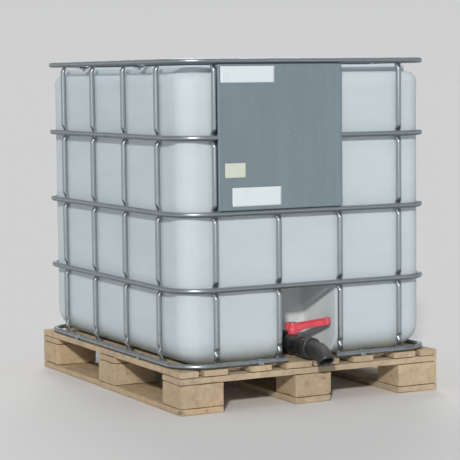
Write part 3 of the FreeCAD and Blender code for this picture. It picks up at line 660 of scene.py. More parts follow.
def weld_beads():
    """Two small nuggets where each upright is welded behind each ring."""
    beads = []
    for face, outward in FACES.items():
        across = Vector((abs(outward.y), abs(outward.x), 0))
        behind = outward * (abs(outward.dot(RING_REACH)) - WELD_SETBACK)
        for number in range(1, 5):
            middle = span(f"upright_{face}_{number}")[2]
            for level, side in itertools.product(RING_LEVELS, (-1, 1)):
                place = across * (middle.dot(across) + side * WELD_SIDE) + behind + UP * level
                beads.append(nugget(place, WELD_RADIUS, number * 13 + side))
    return joined(beads)


def nugget(centre, radius, seed):
    """A small uneven ball."""
    rings = []
    for latitude in (-80, -50, -20, 20, 50, 80):
        t = math.radians(latitude)
        ring = []
        for a in turns(10):
            way = Vector((math.cos(a) * math.cos(t), math.sin(a) * math.cos(t), math.sin(t)))
            ring.append(centre + way * radius * (1 + 0.25 * noise.noise(way * 2 + Vector((seed, 0, 0)))))
        rings.append(ring)
    return loft(rings)


def seam_sleeves():
    """The weld all round at the back, where the two ends of each closed ring meet."""
    profile = [(8.73, -3), (9.5, -2), (9.9, 0), (9.5, 2), (8.73, 3)]
    return joined([lathe(profile, (0, RING_REACH.y, level), FACES["right"], 24) for level in RING_LEVELS[1:]])


BAR_FLAT, BAR_EASE, FLAT_HALF, FLAT_WIDE = 22 * MM, 20 * MM, 3 * MM, 12 * MM
BAR_LEVEL = span("crossbar_back")[0].z + 3.1 * MM


def crossbar_mesh(node):
    """A bar over the bottle: round in the middle, flattened where it is bolted down."""
    _, high, middle = span(node)
    reach = high.x
    stations = [-reach + step * 3 * MM for step in range(17)]
    rings = []
    for x in stations + [0] + [-station for station in reversed(stations)]:
        share = smooth((reach - BAR_FLAT - abs(x)) / BAR_EASE)
        high_half = FLAT_HALF + (TUBE - FLAT_HALF) * share
        wide_half = FLAT_WIDE + (TUBE - FLAT_WIDE) * share
        centre = Vector((x, middle.y, BAR_LEVEL + (high.z - TUBE - BAR_LEVEL) * share))
        rings.append(ellipse(centre, FACES["back"] * wide_half, UP * high_half, TUBE_SIDES))
    return loft(hollow_ends(rings, TUBE_BORE))


def cage():
    tubes = {}
    for name, level in zip(RING_NAMES, RING_LEVELS):
        tubes[f"ring_{name}"] = ring_mesh(level, OPENING if name == "bottom" else 0)
    for face, number in itertools.product(FACES, range(1, 5)):
        node = f"upright_{face}_{number}"
        tubes[node] = upright_mesh(face, node)
    for node in ("crossbar_front", "crossbar_back"):
        tubes[node] = crossbar_mesh(node)
    for node, mesh in tubes.items():
        install(f"tube_{node}", mesh, galvanised_tube, "root", "galvanised_tube", node)
    install("cage_welds", weld_beads(), weld, "root", "galvanised_tube")
    install("ring_seams", seam_sleeves(), weld, "root", "galvanised_tube")
    for node in ("crossbar_tabs", "rail_clips"):
        paint(node, galvanised_tube, 0.5 * MM)
    paint("clip_screws", zinc_fastener, 0.6 * MM)


PLATE_BEND, SHEET, PLATE_CORNER, NOTCH = 4 * MM, 1 * MM, 5 * MM, 11.5 * MM
ROWS, COLUMNS, CORNER_BEND = 32, 30, 5
GROOVE_INSET, GROOVE_WIDTH, GROOVE_DEPTH = 25 * MM, 12 * MM, 0.9 * MM
RIVETS, RIVET_HEAD = (-320, -200, -60, 80), [(0.01, 1.5), (1.6, 1.35), (3, 0.8), (4, 0), (4, -0.4)]


def rounded_loop(low, high, radius, uprights):
    """A rounded rectangle in the plane of the plate; its two sides have points at given heights."""
    points = []
    for x, z, start in ((high.x, low.z, -90), (high.x, high.z, 0), (low.x, high.z, 90), (low.x, low.z, 180)):
        cx = x - radius if x == high.x else x + radius
        cz = z - radius if z == high.z else z + radius
        points += [Vector((px, 0, pz)) for px, pz in arc(cx, cz, radius, start, start + 90, CORNER_BEND)]
        if start == -90:
            points += [Vector((x, 0, z)) for z in uprights]
        elif start == 90:
            points += [Vector((x, 0, z)) for z in reversed(uprights)]
        else:
            end = low.x + radius if start == 0 else high.x - radius
            points += between(points[-1], Vector((end, 0, z)), COLUMNS)
    return points


def plate_face():
    """The plate's sheet from the edge of its flange round the bend to the middle of its face."""
    low, high, middle = span("label_plate")
    ring_z = RING_LEVELS[3]
    tall = high.z - low.z
    heights = [low.z + PLATE_CORNER + (tall - 2 * PLATE_CORNER) * row / ROWS for row in range(1, ROWS)]
    below = min(range(len(heights)), key=lambda row: abs(heights[row] - (ring_z - NOTCH)))
    heights[below], heights[below + 1] = ring_z - NOTCH, ring_z + NOTCH
    stations = [(0, high.y), (0, low.y + PLATE_BEND)]
    for x, y in arc(0, 0, PLATE_BEND, 15, 90, 5):
        stations.append((PLATE_BEND - x, low.y + PLATE_BEND - y))
    loops = []
    for inset, y in stations:
        inward = Vector((inset, 0, inset))
        scale = [middle.z + (z - middle.z) * (1 - inset / tall * 2) for z in heights] if inset else heights
        loop = rounded_loop(low + inward, high - inward, PLATE_CORNER - inset * 0.5, scale)
        loops.append([Vector((p.x, y, p.z)) for p in loop])
    edge, groove = loops[-1], high.x - GROOVE_INSET
    for step in range(1, ROWS):
        share = (step / ROWS) ** 1.7
        loop = []
        for p in edge:
            place = Vector((p.x, low.y, p.z)).lerp(Vector((middle.x, low.y, middle.z)), share)
            ripple = noise.noise(Vector((place.x * 6, place.z * 5, 4))) + 0.4 * noise.noise(place * 14)
            into, out = place.x - groove + 6 * MM, groove + GROOVE_WIDTH - place.x
            place.y += 0.5 * MM * (1 + ripple) * smooth(share * 8)
            place.y += GROOVE_DEPTH * smooth(into / (5 * MM)) * smooth(out / (5 * MM))
            loop.append(place)
        loops.append(loop)
    vertices, faces = loft(loops, cap_start=False)
    kept = []
    for face in faces:
        spot = [vertices[index] for index in face]
        flange = max(p.y for p in spot) > low.y + PLATE_BEND - 0.1 * MM
        sides = min(p.x for p in spot) > high.x - 0.5 * MM or max(p.x for p in spot) < low.x + 0.5 * MM
        level = sum(p.z for p in spot) / len(spot)
        if not (flange and sides and abs(level - ring_z) < NOTCH):
            kept.append(face)
    return vertices, kept


def label_boxes():
    """Corners of the sheets in the labels node, the highest first; any triangle of a back spans it."""
    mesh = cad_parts["labels"].data
    boxes = set()
    for face in mesh.polygons:
        if face.normal.y > 0.9:
            places = list(zip(*(mesh.vertices[index].co for index in face.vertices)))
            boxes.add((tuple(map(min, places)), tuple(map(max, places))))
    return [(Vector(low), Vector(high)) for low, high in sorted(boxes, key=lambda box: -box[0][2])]


LABEL_GRID, LABEL_INSET, PAPER = (28, 12), 0.3 * MM, 0.25 * MM


def label(name, low, high, material, seed):
    """A paper sheet stuck on the plate, two of its corners lifting a little."""
    across, up = LABEL_GRID
    vertices, faces = [], []
    for row, column in itertools.product(range(up + 1), range(across + 1)):
        a, b = column / across, row / up
        x, z = low.x + (high.x - low.x) * a, low.z + (high.z - low.z) * b
        lift = 2.2 * MM * smooth((a + b - 1.72) / 0.28) + 1.4 * MM * smooth((0.2 - a - b * 0.8) / 0.2)
        crease = 0.18 * MM * (1 + noise.noise(Vector((x * 40, seed, z * 40))))
        vertices.append(Vector((x, high.y - LABEL_INSET - lift - crease, z)))
    for row, column in itertools.product(range(up), range(across)):
        first = row * (across + 1) + column
        faces.append((first, first + 1, first + across + 2, first + across + 1))
    piece = install(name, (vertices, faces), material, "root", "label_paper", angle=80)
    thickened(piece, PAPER, 1)
    return piece


def marking_plate():
    nodes = ("root", "marking_plate", "label_plate")
    thickened(install("plate_sheet", plate_face(), plate_steel, *nodes, angle=50), SHEET, -1)
    for number, (low, high) in enumerate(label_boxes(), start=1):
        material = cream_paper if number == 2 else white_paper
        label(f"label_{number}", low, high, material, number)
    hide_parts("labels")
    front, level = span("label_plate")[0].y, span("plate_rivets")[2].z
    heads = [lathe(RIVET_HEAD, (x * MM, front, level), FACES["front"], 20) for x in RIVETS]
    install("rivet_heads", joined(heads), plate_steel, "root", "zinc_fastener", "plate_rivets")


# ---------------------------------------------------------------- bottle

HALF = span("bottle")[1].xy
BASE_Z, TOP_Z, SHOULDER_Z = span("bottle")[0].z, span("bottle")[1].z, 1078 * MM
CORNER, BOTTOM_EDGE, WALL = 66 * MM, 92 * MM, 3 * MM
NICHE_FRONT, NICHE_BACK, NICHE_DEPTH, NICHE_ROOF = 110 * MM, 83 * MM, 385 * MM, 398 * MM
ROOF_EDGE, LIP, INNER_EDGE = 26 * MM, 11 * MM, 20 * MM
SIDE_STEPS, BACK_STEPS, FRONT_STEPS, BEND_STEPS = 36, 28, 10, 10
LIP_STEPS, CHEEK_STEPS, CORNER_STEPS, REAR_STEPS = 6, 14, 6, 12
FOOT_STEPS, LOW_STEPS, ROOF_STEPS, CLOSING_STEPS, TALL_STEPS, TOP_STEPS = 11, 8, 6, 12, 33, 30


def corner_points(before, corner, after, radius, steps):
    """An arc of a given radius that rounds a corner of a path, as steps + 1 points."""
    inward, outward = (before - corner).normalized(), (after - corner).normalized()
    half = inward.angle(outward) / 2
    centre = corner + (inward + outward).normalized() * (radius / math.sin(half))
    start = corner + inward * (radius / math.tan(half)) - centre
    end = corner + outward * (radius / math.tan(half)) - centre
    turn = start.angle_signed(end)
    return [centre + Matrix.Rotation(-turn * step / steps, 2) @ start for step in range(steps + 1)]


def niche_line(front, shrink=0.0):
    """The recess from its right lip round its back wall to its left lip, in a slice."""
    slope = (NICHE_FRONT - NICHE_BACK) / (HALF.y - NICHE_DEPTH)
    wide = NICHE_BACK + slope * (front - NICHE_DEPTH) - shrink
    narrow, back = NICHE_BACK - shrink, -NICHE_DEPTH - shrink
    right = [Vector((0.3, -front)), Vector((wide, -front)), Vector((narrow, back)), Vector((-narrow, back))]
    lip = corner_points(right[0], right[1], right[2], LIP, LIP_STEPS)
    inner = corner_points(right[1], right[2], right[3], INNER_EDGE, CORNER_STEPS)
    half = lip + between(lip[-1], inner[0], CHEEK_STEPS) + inner
    other = [Vector((-point.x, point.y)) for point in reversed(half)]
    return half + between(half[-1], other[0], REAR_STEPS) + other


def outline(inset, bend, niche):
    """A level slice of the bottle, anticlockwise from the niche's right lip; niche gives the last stretch."""
    x, y = HALF.x - inset, HALF.y - inset
    corners = [Vector((x, -y)), Vector((x, y)), Vector((-x, y)), Vector((-x, -y))]
    points, last = [], niche[0]
    for index, steps in enumerate((FRONT_STEPS, SIDE_STEPS, BACK_STEPS, SIDE_STEPS)):
        bent = corner_points(corners[index - 1], corners[index], corners[(index + 1) % 4], bend, BEND_STEPS)
        points += between(last, bent[0], steps) + bent
        last = bent[-1]
    return points + between(last, niche[-1], FRONT_STEPS) + niche[::-1]


def front_line(recess, last):
    """The niche stretch where the front has closed over it: evenly spread between the lips."""
    right, left = last[LIP_STEPS], last[-1 - LIP_STEPS]
    count = len(last) - 1 - 2 * LIP_STEPS
    line = []
    for index, point in enumerate(last):
        inside = LIP_STEPS <= index <= LIP_STEPS + count
        x = right.x + (left.x - right.x) * (index - LIP_STEPS) / count if inside else point.x
        line.append(Vector((x, max(-HALF.y, min(point.y, recess - HALF.y)))))
    return line


def quarter(steps, start=1):
    """Sine and 1 - cosine of the steps of a quarter turn."""
    angles = [math.radians(90 * step / steps) for step in range(start, steps + 1)]
    return [(math.sin(t), 1 - math.cos(t)) for t in angles]


def bottle_rings():
    """Level loops of the bottle's outer skin from its base up to the neck's rim."""
    loops = []

    def add(points, z):
        loops.append([Vector((*point, z)) for point in points])

    def foot(inset, z):
        add(outline(inset, max(CORNER - 0.45 * inset, 18 * MM), niche_line(HALF.y - inset)), z)

    foot(BOTTOM_EDGE + 6 * MM, BASE_Z)
    for sine, rise in quarter(FOOT_STEPS, 0):
        foot(BOTTOM_EDGE * (1 - sine), BASE_Z + BOTTOM_EDGE * rise)
    low, high = BASE_Z + BOTTOM_EDGE, NICHE_ROOF - ROOF_EDGE
    levels = []
    for step in range(1, LOW_STEPS + 1):
        levels.append((niche_line(HALF.y), low + (high - low) * step / LOW_STEPS))
    for sine, rise in quarter(ROOF_STEPS):
        levels.append((niche_line(HALF.y, ROOF_EDGE * rise), high + ROOF_EDGE * sine))
    last = levels[-1][0]
    flat, closed, low = front_line(LIP, last), front_line(0, last), NICHE_ROOF + LIP
    for step in range(1, CLOSING_STEPS + 1):
        levels.append(([one.lerp(two, step / CLOSING_STEPS) for one, two in zip(last, flat)], NICHE_ROOF))
    for sine, rise in quarter(ROOF_STEPS):
        levels.append((front_line(LIP * (1 - sine), last), NICHE_ROOF + LIP * rise))
    for step in range(1, TALL_STEPS + 1):
        levels.append((closed, low + (SHOULDER_Z - low) * step / TALL_STEPS))
    for line, z in levels:
        add(outline(0, CORNER, line), z)
    profile = [(32 - 32 * math.cos(math.radians(a)), 1078 + 36 * math.sin(math.radians(a)))
               for a in (12, 25, 38, 52, 66, 80)]
    profile += [(31, 1114.2), (33, 1113.6), (34.4, 1114.6), (34.8, 1117), (35.2, 1122), (35.8, 1128),
                (37, 1132.6), (39.5, 1136), (43, 1137.8), (48, 1138.4)]
    for inset, z in profile:
        shifted = [Vector((point.x, point.y + inset * MM)) for point in closed]
        add(outline(inset * MM, CORNER - 0.35 * inset * MM, shifted), min(z * MM, TOP_Z))
    return loops + top_rings(loops[-1])


def top_rings(edge):
    """From the plateau's edge over the top, down into the well and up the neck."""
    loops = []
    directions = [point.xy.normalized() for point in edge]
    for step in range(1, TOP_STEPS + 1):
        loop = []
        for point, way in zip(edge, directions):
            place = point.xy.lerp(way * 140 * MM, step / TOP_STEPS)
            loop.append(Vector((*place, TOP_Z - channel(place))))
        loops.append(loop)
    profile = [(136.2, 1137.3), (133, 1135.2), (130.8, 1131.6), (130, 1127), (129.2, 1112), (128.4, 1098),
               (126, 1090.5), (121.5, 1086.6), (116, 1085.2), (106, 1085), (93, 1085), (86, 1085.6),
               (82, 1087.8), (79.6, 1091.6), (79, 1096)]
    for groove in (1104, 1112):
        profile += [(79, groove), (77.6, groove + 1.2), (77.6, groove + 3), (79, groove + 4.2)]
    profile += [(79, 1125.6), (78.2, 1127.4), (76.8, 1128)]
    for radius, z in profile:
        loops.append([Vector((*(way * radius * MM), z * MM)) for way in directions])
    return loops


BAR_Y = span("crossbar_back")[2].y
CHANNEL_DEPTH, CHANNEL_HALF, CHANNEL_EASE = 6 * MM, 13 * MM, 9 * MM
GROOVES, SMALL_DEPTH, SMALL_HALF, SMALL_EASE = (-430, -350, 350, 430), 3.5 * MM, 10 * MM, 12 * MM
SMALL_REACH, SMALL_END, TOP_SLACK = 330 * MM, 20 * MM, 0.4 * MM


def channel(place):
    """Depth of the shallow channels that the crossbars lie over, and of the grooves beyond them."""
    from_bar = abs(abs(place.y) - BAR_Y)
    depth = CHANNEL_DEPTH * (1 - smooth((from_bar - CHANNEL_HALF) / CHANNEL_EASE))
    if abs(place.y) > BAR_Y + 40 * MM:
        long_enough = 1 - smooth((abs(place.x) - SMALL_REACH) / SMALL_END)
        for row in GROOVES:
            near = 1 - smooth((abs(place.y - row * MM) - SMALL_HALF) / SMALL_EASE)
            depth = max(depth, SMALL_DEPTH * near * long_enough)
    return depth + TOP_SLACK


def bottle():
    loops = bottle_rings()
    for point in itertools.chain(*loops):
        if BASE_Z + 50 * MM < point.z < SHOULDER_Z - 8 * MM:
            sway = noise.noise(point * 4.2) * 0.9 + noise.noise(point * 1.7 + Vector((3, 1, 7))) * 0.8
            k = 0 if abs(point.x / HALF.x) > abs(point.y / HALF.y) else 1
            point[k] -= math.copysign(MM * (1 + 0.7 * sway), point[k])
    nodes = ("root", "bottle_plastic", "bottle")
    thickened(install("blown_bottle", loft(loops, cap_end=False), milky_plastic, *nodes, angle=60), WALL, -1)
    profile = [(24, 380), (24, 402), (29, 402), (30, 401), (30, 391), (31, 388.5), (34, 386.5), (40, 385.2),
               (46, 384.6), (46, 383.4), (36, 381.6), (30, 380)]
    neck = pipe_lathe(profile, 72, closed=True)
    install("outlet_neck", neck, milky_plastic, "root", "bottle_plastic", angle=50)
    disc = pipe_lathe([(0.01, 384.4), (24, 384.4)], 48, caps=(False, False))
    install("outlet_mouth", disc, seal_rubber, "root", "black_plastic")


# ---------------------------------------------------------------- cap and valve

PIPE_Z, STEM_Y = 184 * MM, 458 * MM


def pipe_lathe(profile, count, bump=None, closed=False, caps=(True, True)):
    """A form turned about the valve's pipe axis: radius and distance in front of the origin."""
    return lathe(profile, (0, 0, PIPE_Z), FACES["front"], count, bump, closed, caps)


def stem_lathe(profile, count=48, closed=False):
    """A form turned about the valve's stem: radius and height."""
    return lathe(profile, (0, -STEM_Y, 0), UP, count, None, closed)


def lobes(angle, number, half_width, crest=0.35):
    """A rounded bar's height, 0 to 1, repeated around a circle; the half-width is in degrees."""
    pitch = 360 / number
    away = abs((math.degrees(angle) + pitch / 2) % pitch - pitch / 2)
    return smooth((half_width - away) / (half_width * (1 - crest)))


def rounded_bar(low, high, radius=1.1):
    """A bar with rounded ends and eased top edges, standing on its lower face; in mm."""
    middle, reach = (low[1] + high[1]) / 2, (high[1] - low[1]) / 2
    rings = []
    foot, top = low[2], high[2]
    for inset, z in ((0, foot), (0, top - radius), (radius * 0.3, top - radius * 0.3), (radius, top)):
        line = arc(high[0] - reach, middle, reach - inset, -90, 90, 8)
        line += arc(low[0] + reach, middle, reach - inset, 90, 270, 8)
        rings.append([Vector((x, y, z)) * MM for x, y in line])
    return loft(rings)


def fill_cap():
    """A screw cap with grip ribs round its rim and spokes on its top."""
    low, high, _ = span("fill_cap")
    top, foot = high.z / MM, (low.z - high.z) / MM

    def grips(radius, height, angle):
        along = smooth((-4 - height) / 3) * smooth((height - foot - 1) / 2)
        return 2.5 * lobes(angle, 36, 3.2) * along if radius > 86.5 else 0

    profile = [(28.1, -0.6), (28.7, 0), (41, 0), (42.2, -1.4), (44, -1.8), (75, -1.8), (77, -1.4), (78.4, 0),
               (83.6, 0), (85.4, -0.5), (86.6, -1.8)]
    profile += [(87, -depth) for depth in (3.6, 7, 12, 18, 24, 28, 31, 32.6)]
    profile += [(86.2, -33.9), (80.4, -33.9), (79.3, -32.8), (79.3, -20), (79.3, -6.2), (41, -6.2),
                (40, -6.8), (40, -9.6), (38, -10), (29, -10), (28.1, -9.4)]
    parts = [lathe(profile, (0, 0, high.z), count=288, bump=grips, closed=True)]
    spoke, faces = rounded_bar((46, -1.6, top - 2.4), (73, 1.6, top - 0.4))
    for t in turns(12):
        parts.append(([Matrix.Rotation(t, 4, "Z") @ vertex for vertex in spoke], faces))
    install("screw_cap", joined(parts), black_plastic, "cap", "black_plastic", "fill_cap", angle=35)


def vent_plug():
    """A knurled plug with a bar across it to turn it by."""
    high = span("vent_plug")[1]
    top = high.z / MM

    def knurl(radius, height, angle):
        return 0.9 * lobes(angle, 40, 3.4) if radius > 34.6 and height < -4.6 else 0

    profile = [(0.01, -6.2), (27, -6.2), (28.5, -5.8), (29.5, -4.4), (33, -4.2), (34.2, -4.5),
               (35.1, -5.2), (35.1, -8.6), (34.4, -9), (28.4, -9), (28, -9.6), (28, -20.4), (27.2, -21),
               (24, -21), (23.6, -20), (23.6, -12), (0.01, -12)]
    parts = [lathe(profile, (0, 0, high.z), count=240, bump=knurl)]
    parts.append(rounded_bar((-26, -4.5, top - 6.6), (26, 4.5, top)))
    install("bung", joined(parts), black_plastic, "plug", "black_plastic", "vent_plug", angle=35)


def hexagon(centre, axis, radius, height, chamfer=0.12):
    """A hexagonal head or nut with chamfered corners, from its base along the axis; sizes in mm."""
    across = axis.orthogonal().normalized()
    rings = []
    for share, level in ((1, 0), (1, 1 - chamfer), (1 - chamfer, 1)):
        rings.append(turned_ring(centre + axis * height * level * MM, axis, across, radius * share, 6))
    return loft(rings)


def valve_body():
    """Pipe, round housing, threads and stem boss, hollow right through."""
    profile = [(24, 404), (30, 404), (30, 413), (27.4, 413.4), (27, 415), (27, 432), (28.6, 434.4),
               (31.4, 438)]
    profile += arc(0, STEM_Y / MM, 35, -30, 30, 10)
    profile += [(31.4, 478), (28.6, 481.6), (27, 484), (27, 518), (27.6, 519), (31, 519.6), (31.8, 521),
                (31.8, 526), (31, 527.4), (27.6, 528), (27, 529), (27, 558)]
    for turn in range(8):
        start = 560 + turn * 2.8
        profile += [(27.6, start), (28.9, start + 0.9), (28.9, start + 1.5), (27.6, start + 2.4)]
    profile += [(27, 583), (24, 583), (24, 540), (24, 480), (24, 430)]
    boss = [(12, 206), (13, 209), (13, 213), (13, 218), (13, 224), (12.9, 228.6), (12, 229.9), (5.2, 229.9),
            (5.2, 206)]
    parts = [pipe_lathe(profile, 72, closed=True), stem_lathe(boss, closed=True)]
    for side in (-1, 1):
        parts.append(hexagon(Vector((side * 0.0335, -0.4895, PIPE_Z)), Vector((side, 0, 0)), 5, 4))
    install("valve_housing", joined(parts), black_plastic, "root", "black_plastic", "valve_body", angle=38)


def union_nut(name, body, node, radius, back, front, bore_back, bore_front, step, rib):
    """A nut with eight grip ribs and a shoulder inside that holds the joint together."""
    def ribs(reach, distance, angle):
        ends = smooth((distance - back - 0.8) / 3) * smooth((front - distance - 1) / 4)
        return rib * lobes(angle - math.pi / 2, 8, 7.5) * ends if reach > radius - 2.4 else 0

    profile = [(bore_back, back), (radius - 1.6, back), (radius - 0.5, back + 0.5), (radius, back + 1.6)]
    profile += [(radius, back + (front - back) * k / 8) for k in range(1, 8)]
    profile += [(radius, front - 2.4), (radius - 0.8, front - 1), (radius - 2.6, front), (bore_front, front),
                (bore_front, step), (bore_back, step)]
    skin = pipe_lathe(profile, 160, ribs, closed=True)
    install(name, skin, nut_plastic, body, "black_plastic", node, angle=38)


SPOUT_START, SPOUT_STRAIGHT, SPOUT_BEND, SPOUT_ANGLE, SPOUT_TAIL = 584, 48, 52, math.radians(50), 20
BEND_LENGTH = SPOUT_BEND * SPOUT_ANGLE
SPOUT_LENGTH, SPOUT_SIDES, PARTING = SPOUT_STRAIGHT + BEND_LENGTH + SPOUT_TAIL, 72, 0.5 * MM


def spout_axis(distance):
    """Place and direction on the spout's bent axis; distance in mm from its inner end."""
    bend = min(max(distance - SPOUT_STRAIGHT, 0) / SPOUT_BEND, SPOUT_ANGLE)
    tail = max(0, distance - SPOUT_STRAIGHT - BEND_LENGTH)
    way = Vector((0, -math.cos(bend), -math.sin(bend)))
    y = -SPOUT_START - min(distance, SPOUT_STRAIGHT) - SPOUT_BEND * math.sin(bend)
    z = PIPE_Z / MM - SPOUT_BEND * (1 - math.cos(bend))
    return (Vector((0, y, z)) + way * tail) * MM, way


def spout():
    """A bent hollow outlet with a collar at its root, a parting line and a thickened mouth."""
    end = SPOUT_LENGTH
    bend = [SPOUT_STRAIGHT + BEND_LENGTH * k / 12 for k in range(1, 13)]
    outer = [(0, 31), (4, 31), (4.6, 27.6), (5.4, 27)] + [(distance, 27) for distance in (12, 20, 28, 30)]
    outer += [(30.6, 28.6), (33.4, 28.6), (34, 27)]
    outer += [(distance, 27) for distance in [40, SPOUT_STRAIGHT] + bend + [end - 16.6]]
    outer += [(end - 16, 28.4), (end - 15.2, 29.5), (end - 9, 29.5), (end - 8.4, 29), (end - 6.6, 29),
              (end - 6, 29.5), (end - 1.2, 29.5), (end - 0.3, 28.8), (end, 27.8)]
    inner = [(end, 24.6), (end - 0.6, 24)]
    inner += [(SPOUT_STRAIGHT + BEND_LENGTH * k / 8, 24) for k in range(8, -1, -1)] + [(0, 24)]
    rings = []
    for index, (distance, radius) in enumerate(outer + inner):
        centre, way = spout_axis(distance)
        ring = turned_ring(centre, way, FACES["right"], radius, SPOUT_SIDES)
        if index < len(outer) and 5 < distance < end - 16:
            for spot in (0, SPOUT_SIDES // 2):
                ring[spot] += (ring[spot] - centre).normalized() * PARTING
        rings.append(ring)
    skin = loft(rings, closed=True)
    install("bent_spout", skin, nut_plastic, "spout", "black_plastic", "spout", angle=38)


LEVER_REACH, LEVER_BACK, HUB, LEVER_RISE, LEVER_DEPTH, LEVER_BOTTOM = 132, 25, 15, 24, 26, 230.2
END_ROUND = ((0, 4.0), (0.8, 2.0), (2.4, 0.7), (4.5, 0))
LEVER_WIDTH, LEVER_CORNER, LEVER_RECESS, LEVER_WAIST = 20, 2.6, 4.2, 1.2


def lever_section(width, depth, corner, recess):
    """A section of the lever bar, waisted on both sides: sideways and up, in mm, anticlockwise."""
    half = width / 2
    levels = [0.12, 0.2, 0.26, 0.34, 0.5, 0.66, 0.74, 0.8, 0.88]
    points = []
    for cx, cy, start in ((half - corner, corner, -90), (half - corner, depth - corner, 0),
                          (corner - half, depth - corner, 90), (corner - half, corner, 180)):
        points += arc(cx, cy, corner, start, start + 90, 4)
        if start in (-90, 90):
            side = -start / 90
            for level in (levels if side > 0 else reversed(levels)):
                cut = recess * smooth((0.34 - abs(level - 0.5)) / 0.09)
                points.append((side * (half - cut), depth * level))
    return points


def lever():
    """The red handle: a ribbed bar that rises to its end, on a hub with a skirt round the boss."""
    stations = [(place - LEVER_BACK, inset) for place, inset in END_ROUND]
    stations += [(place, 0) for place in (-14, -6, 4, HUB, 20, 26, *range(32, 105, 12), 112, 118, 124)]
    stations += [(LEVER_REACH - place, inset) for place, inset in reversed(END_ROUND)]
    turn = Matrix.Translation(Vector((0, -STEM_Y, 0))) @ Matrix.Rotation(math.radians(-45), 4, "Z")
    rings = []
    for place, inset in stations:
        climb = LEVER_RISE * max(0, (place - HUB) / (LEVER_REACH - HUB))
        recess = LEVER_RECESS * smooth((place - 24) / 8) * smooth((119 - place) / 8)
        waist = LEVER_WAIST * math.sin(math.pi * min(1, max(0, (place - HUB) / (LEVER_REACH - HUB - 8))))
        width, depth = LEVER_WIDTH - 2 * (inset + waist), LEVER_DEPTH - 2 * inset
        section = lever_section(width, depth, LEVER_CORNER, recess)
        base = LEVER_BOTTOM + climb + inset
        rings.append([turn @ (Vector((place, side, base + up)) * MM) for side, up in section])
    hub = [(0.01, 256.2), (6.4, 256.2), (12.6, 256.2), (14.2, 255.7), (15, 254.4), (15, 240), (15.4, 236),
           (17, 233), (17, 219), (16.4, 217.3), (13.8, 217.3), (13.5, 218), (13.5, 230.3), (5.2, 230.4),
           (5.2, 234), (0.01, 234)]
    parts = [loft(rings), stem_lathe(hub)]
    for side in (-6.5, 6.5):
        corners = []
        for offset in (side - 1.3, side + 1.3):
            for place, height in ((10, 3), (10, -7.5), (20, -7.5), (42, 4.5)):
                corners.append(turn @ (Vector((place, offset, LEVER_BOTTOM + height)) * MM))
        faces = [(0, 1, 2, 3), (7, 6, 5, 4)] + [(k, (k + 1) % 4, (k + 1) % 4 + 4, k + 4) for k in range(4)]
        parts.append((corners, faces))
    install("lever_handle", joined(parts), red_plastic, "lever", "red_plastic", "valve_lever", angle=38)


def lever_screw():
    low, high, _ = span("lever_screw")
    foot, top = low.z / MM, high.z / MM
    profile = [(0.01, foot), (3, foot), (3, top - 3), (6.8, top - 3), (7, top - 2.6), (6.9, top - 1.2),
               (5.6, top - 0.2), (4, top), (2.6, top), (2.5, top - 1.8), (0.01, top - 1.8)]
    head = stem_lathe(profile, 36)
    install("lever_screw_head", head, zinc_fastener, "lever", "zinc_fastener", "lever_screw")


def seals_and_stem():
    """The small parts that keep the shape of the CAD model."""
    for node in ("cap_gasket", "plug_gasket", "valve_seals"):
        paint(node, seal_rubber)
    for node in ("valve_disc", "valve_stem"):
        paint(node, black_plastic, 0.8 * MM)


BOLT_X, WASHER, NUT_RADIUS = 465 * MM, 0.8, 6.5


def tab_bolts():
    """Hexagon bolts with washers and nuts on the crossbar tabs."""
    low, high, _ = span("crossbar_bolts")
    bolts = []
    for x, y in itertools.product((-BOLT_X, BOLT_X), (-BAR_Y, BAR_Y)):
        top = Vector((x, y, high.z - 5 * MM))
        bolts.append(lathe([(0.01, 0), (8, 0), (8, WASHER), (0.01, WASHER)], top, count=28))
        bolts.append(hexagon(top + UP * WASHER * MM, UP, NUT_RADIUS, 4.2))
        bolts.append(hexagon(Vector((x, y, BAR_LEVEL - 7 * MM)), -UP, NUT_RADIUS, 6))
        bolts.append(lathe([(0.01, 0), (3.4, 0.2), (4, 1), (4, 24)], Vector((x, y, low.z)), count=20))
    install("tab_bolts", joined(bolts), zinc_fastener, "root", "zinc_fastener", "crossbar_bolts")


# ---------------------------------------------------------------- studio

FLOOR_REACH = 150
WORLD = ((0.0, (0.658, 0.66, 0.658)), (0.10, (0.625, 0.632, 0.64)), (0.4, (0.26, 0.29, 0.32)),
         (0.75, (0.30, 0.33, 0.37)), (1.0, (0.62, 0.66, 0.72)))


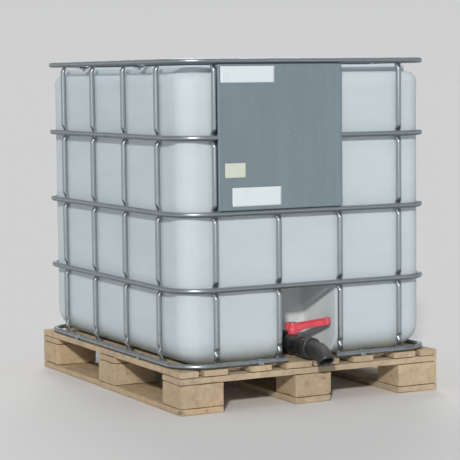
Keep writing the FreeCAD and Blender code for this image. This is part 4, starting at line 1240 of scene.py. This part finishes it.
def studio():
    """A pale floor, a sky that is darkest half-way up, a sun over the left shoulder and a soft one behind."""
    mesh = bpy.data.meshes.new("floor")
    corners = [(x * FLOOR_REACH, y * FLOOR_REACH, 0) for x, y in ((-1, -1), (1, -1), (1, 1), (-1, 1))]
    mesh.from_pydata(corners, [], [(0, 1, 2, 3)])
    ground = placed("floor", mesh)
    pale = Shader("studio floor")
    pale.set(Base_Color=(0.735, 0.708, 0.682, 1), Roughness=1.0, Specular_IOR_Level=0.0)
    mesh.materials.append(pale.material)
    world = bpy.data.worlds.new("studio")
    bpy.context.scene.world = world
    world.use_nodes = True
    tree = world.node_tree
    parts = tree.nodes.new("ShaderNodeSeparateXYZ")
    tree.links.new(tree.nodes.new("ShaderNodeTexCoord").outputs["Generated"], parts.inputs[0])
    ramp = tree.nodes.new("ShaderNodeValToRGB")
    tree.links.new(parts.outputs["Z"], ramp.inputs["Fac"])
    set_stops(ramp.color_ramp.elements, WORLD)
    tree.links.new(ramp.outputs["Color"], tree.nodes["Background"].inputs["Color"])
    tree.nodes["Background"].inputs["Strength"].default_value = 0.96
    sun("key", Vector((0.65, 1.0, -0.57)), 2.4, 4, (1.0, 0.975, 0.935))
    sun("rim", Vector((-0.45, -1.0, -0.9)), 0.9, 25, (0.93, 0.96, 1.0))


def sun(name, direction, strength, softness, colour):
    light = bpy.data.lights.new(name, "SUN")
    light.energy = strength
    light.angle = math.radians(softness)
    light.color = colour
    holder = placed(name, light)
    holder.location = -direction * 4
    holder.rotation_euler = direction.to_track_quat("-Z", "Y").to_euler()


def camera():
    lens = bpy.data.cameras.new("camera")
    holder = placed("camera", lens)
    holder.location = Vector((-2.986, -5.731, 1.091))
    aim = Vector((-0.01, -0.02, 0.545)) - holder.location
    roll = Matrix.Rotation(math.radians(-0.6), 4, "Z")
    holder.rotation_euler = (aim.to_track_quat("-Z", "Y").to_matrix().to_4x4() @ roll).to_euler()
    lens.sensor_width = 36
    lens.lens = 139
    lens.clip_end = 400
    bpy.context.scene.camera = holder
    bpy.context.scene.view_settings.view_transform = "Standard"


camera()
studio()
pallet()
cage()
marking_plate()
bottle()
fill_cap()
vent_plug()
valve_body()
union_nut("neck_nut", "root", "valve_nut", 38, 392, 420, 30.2, 27.2, 413.2, 1.5)
union_nut("spout_nut", "outlet_nut", "outlet_nut", 36, 563, 593, 29.2, 27.2, 583, 1.9)
spout()
lever()
lever_screw()
seals_and_stem()
tab_bolts()
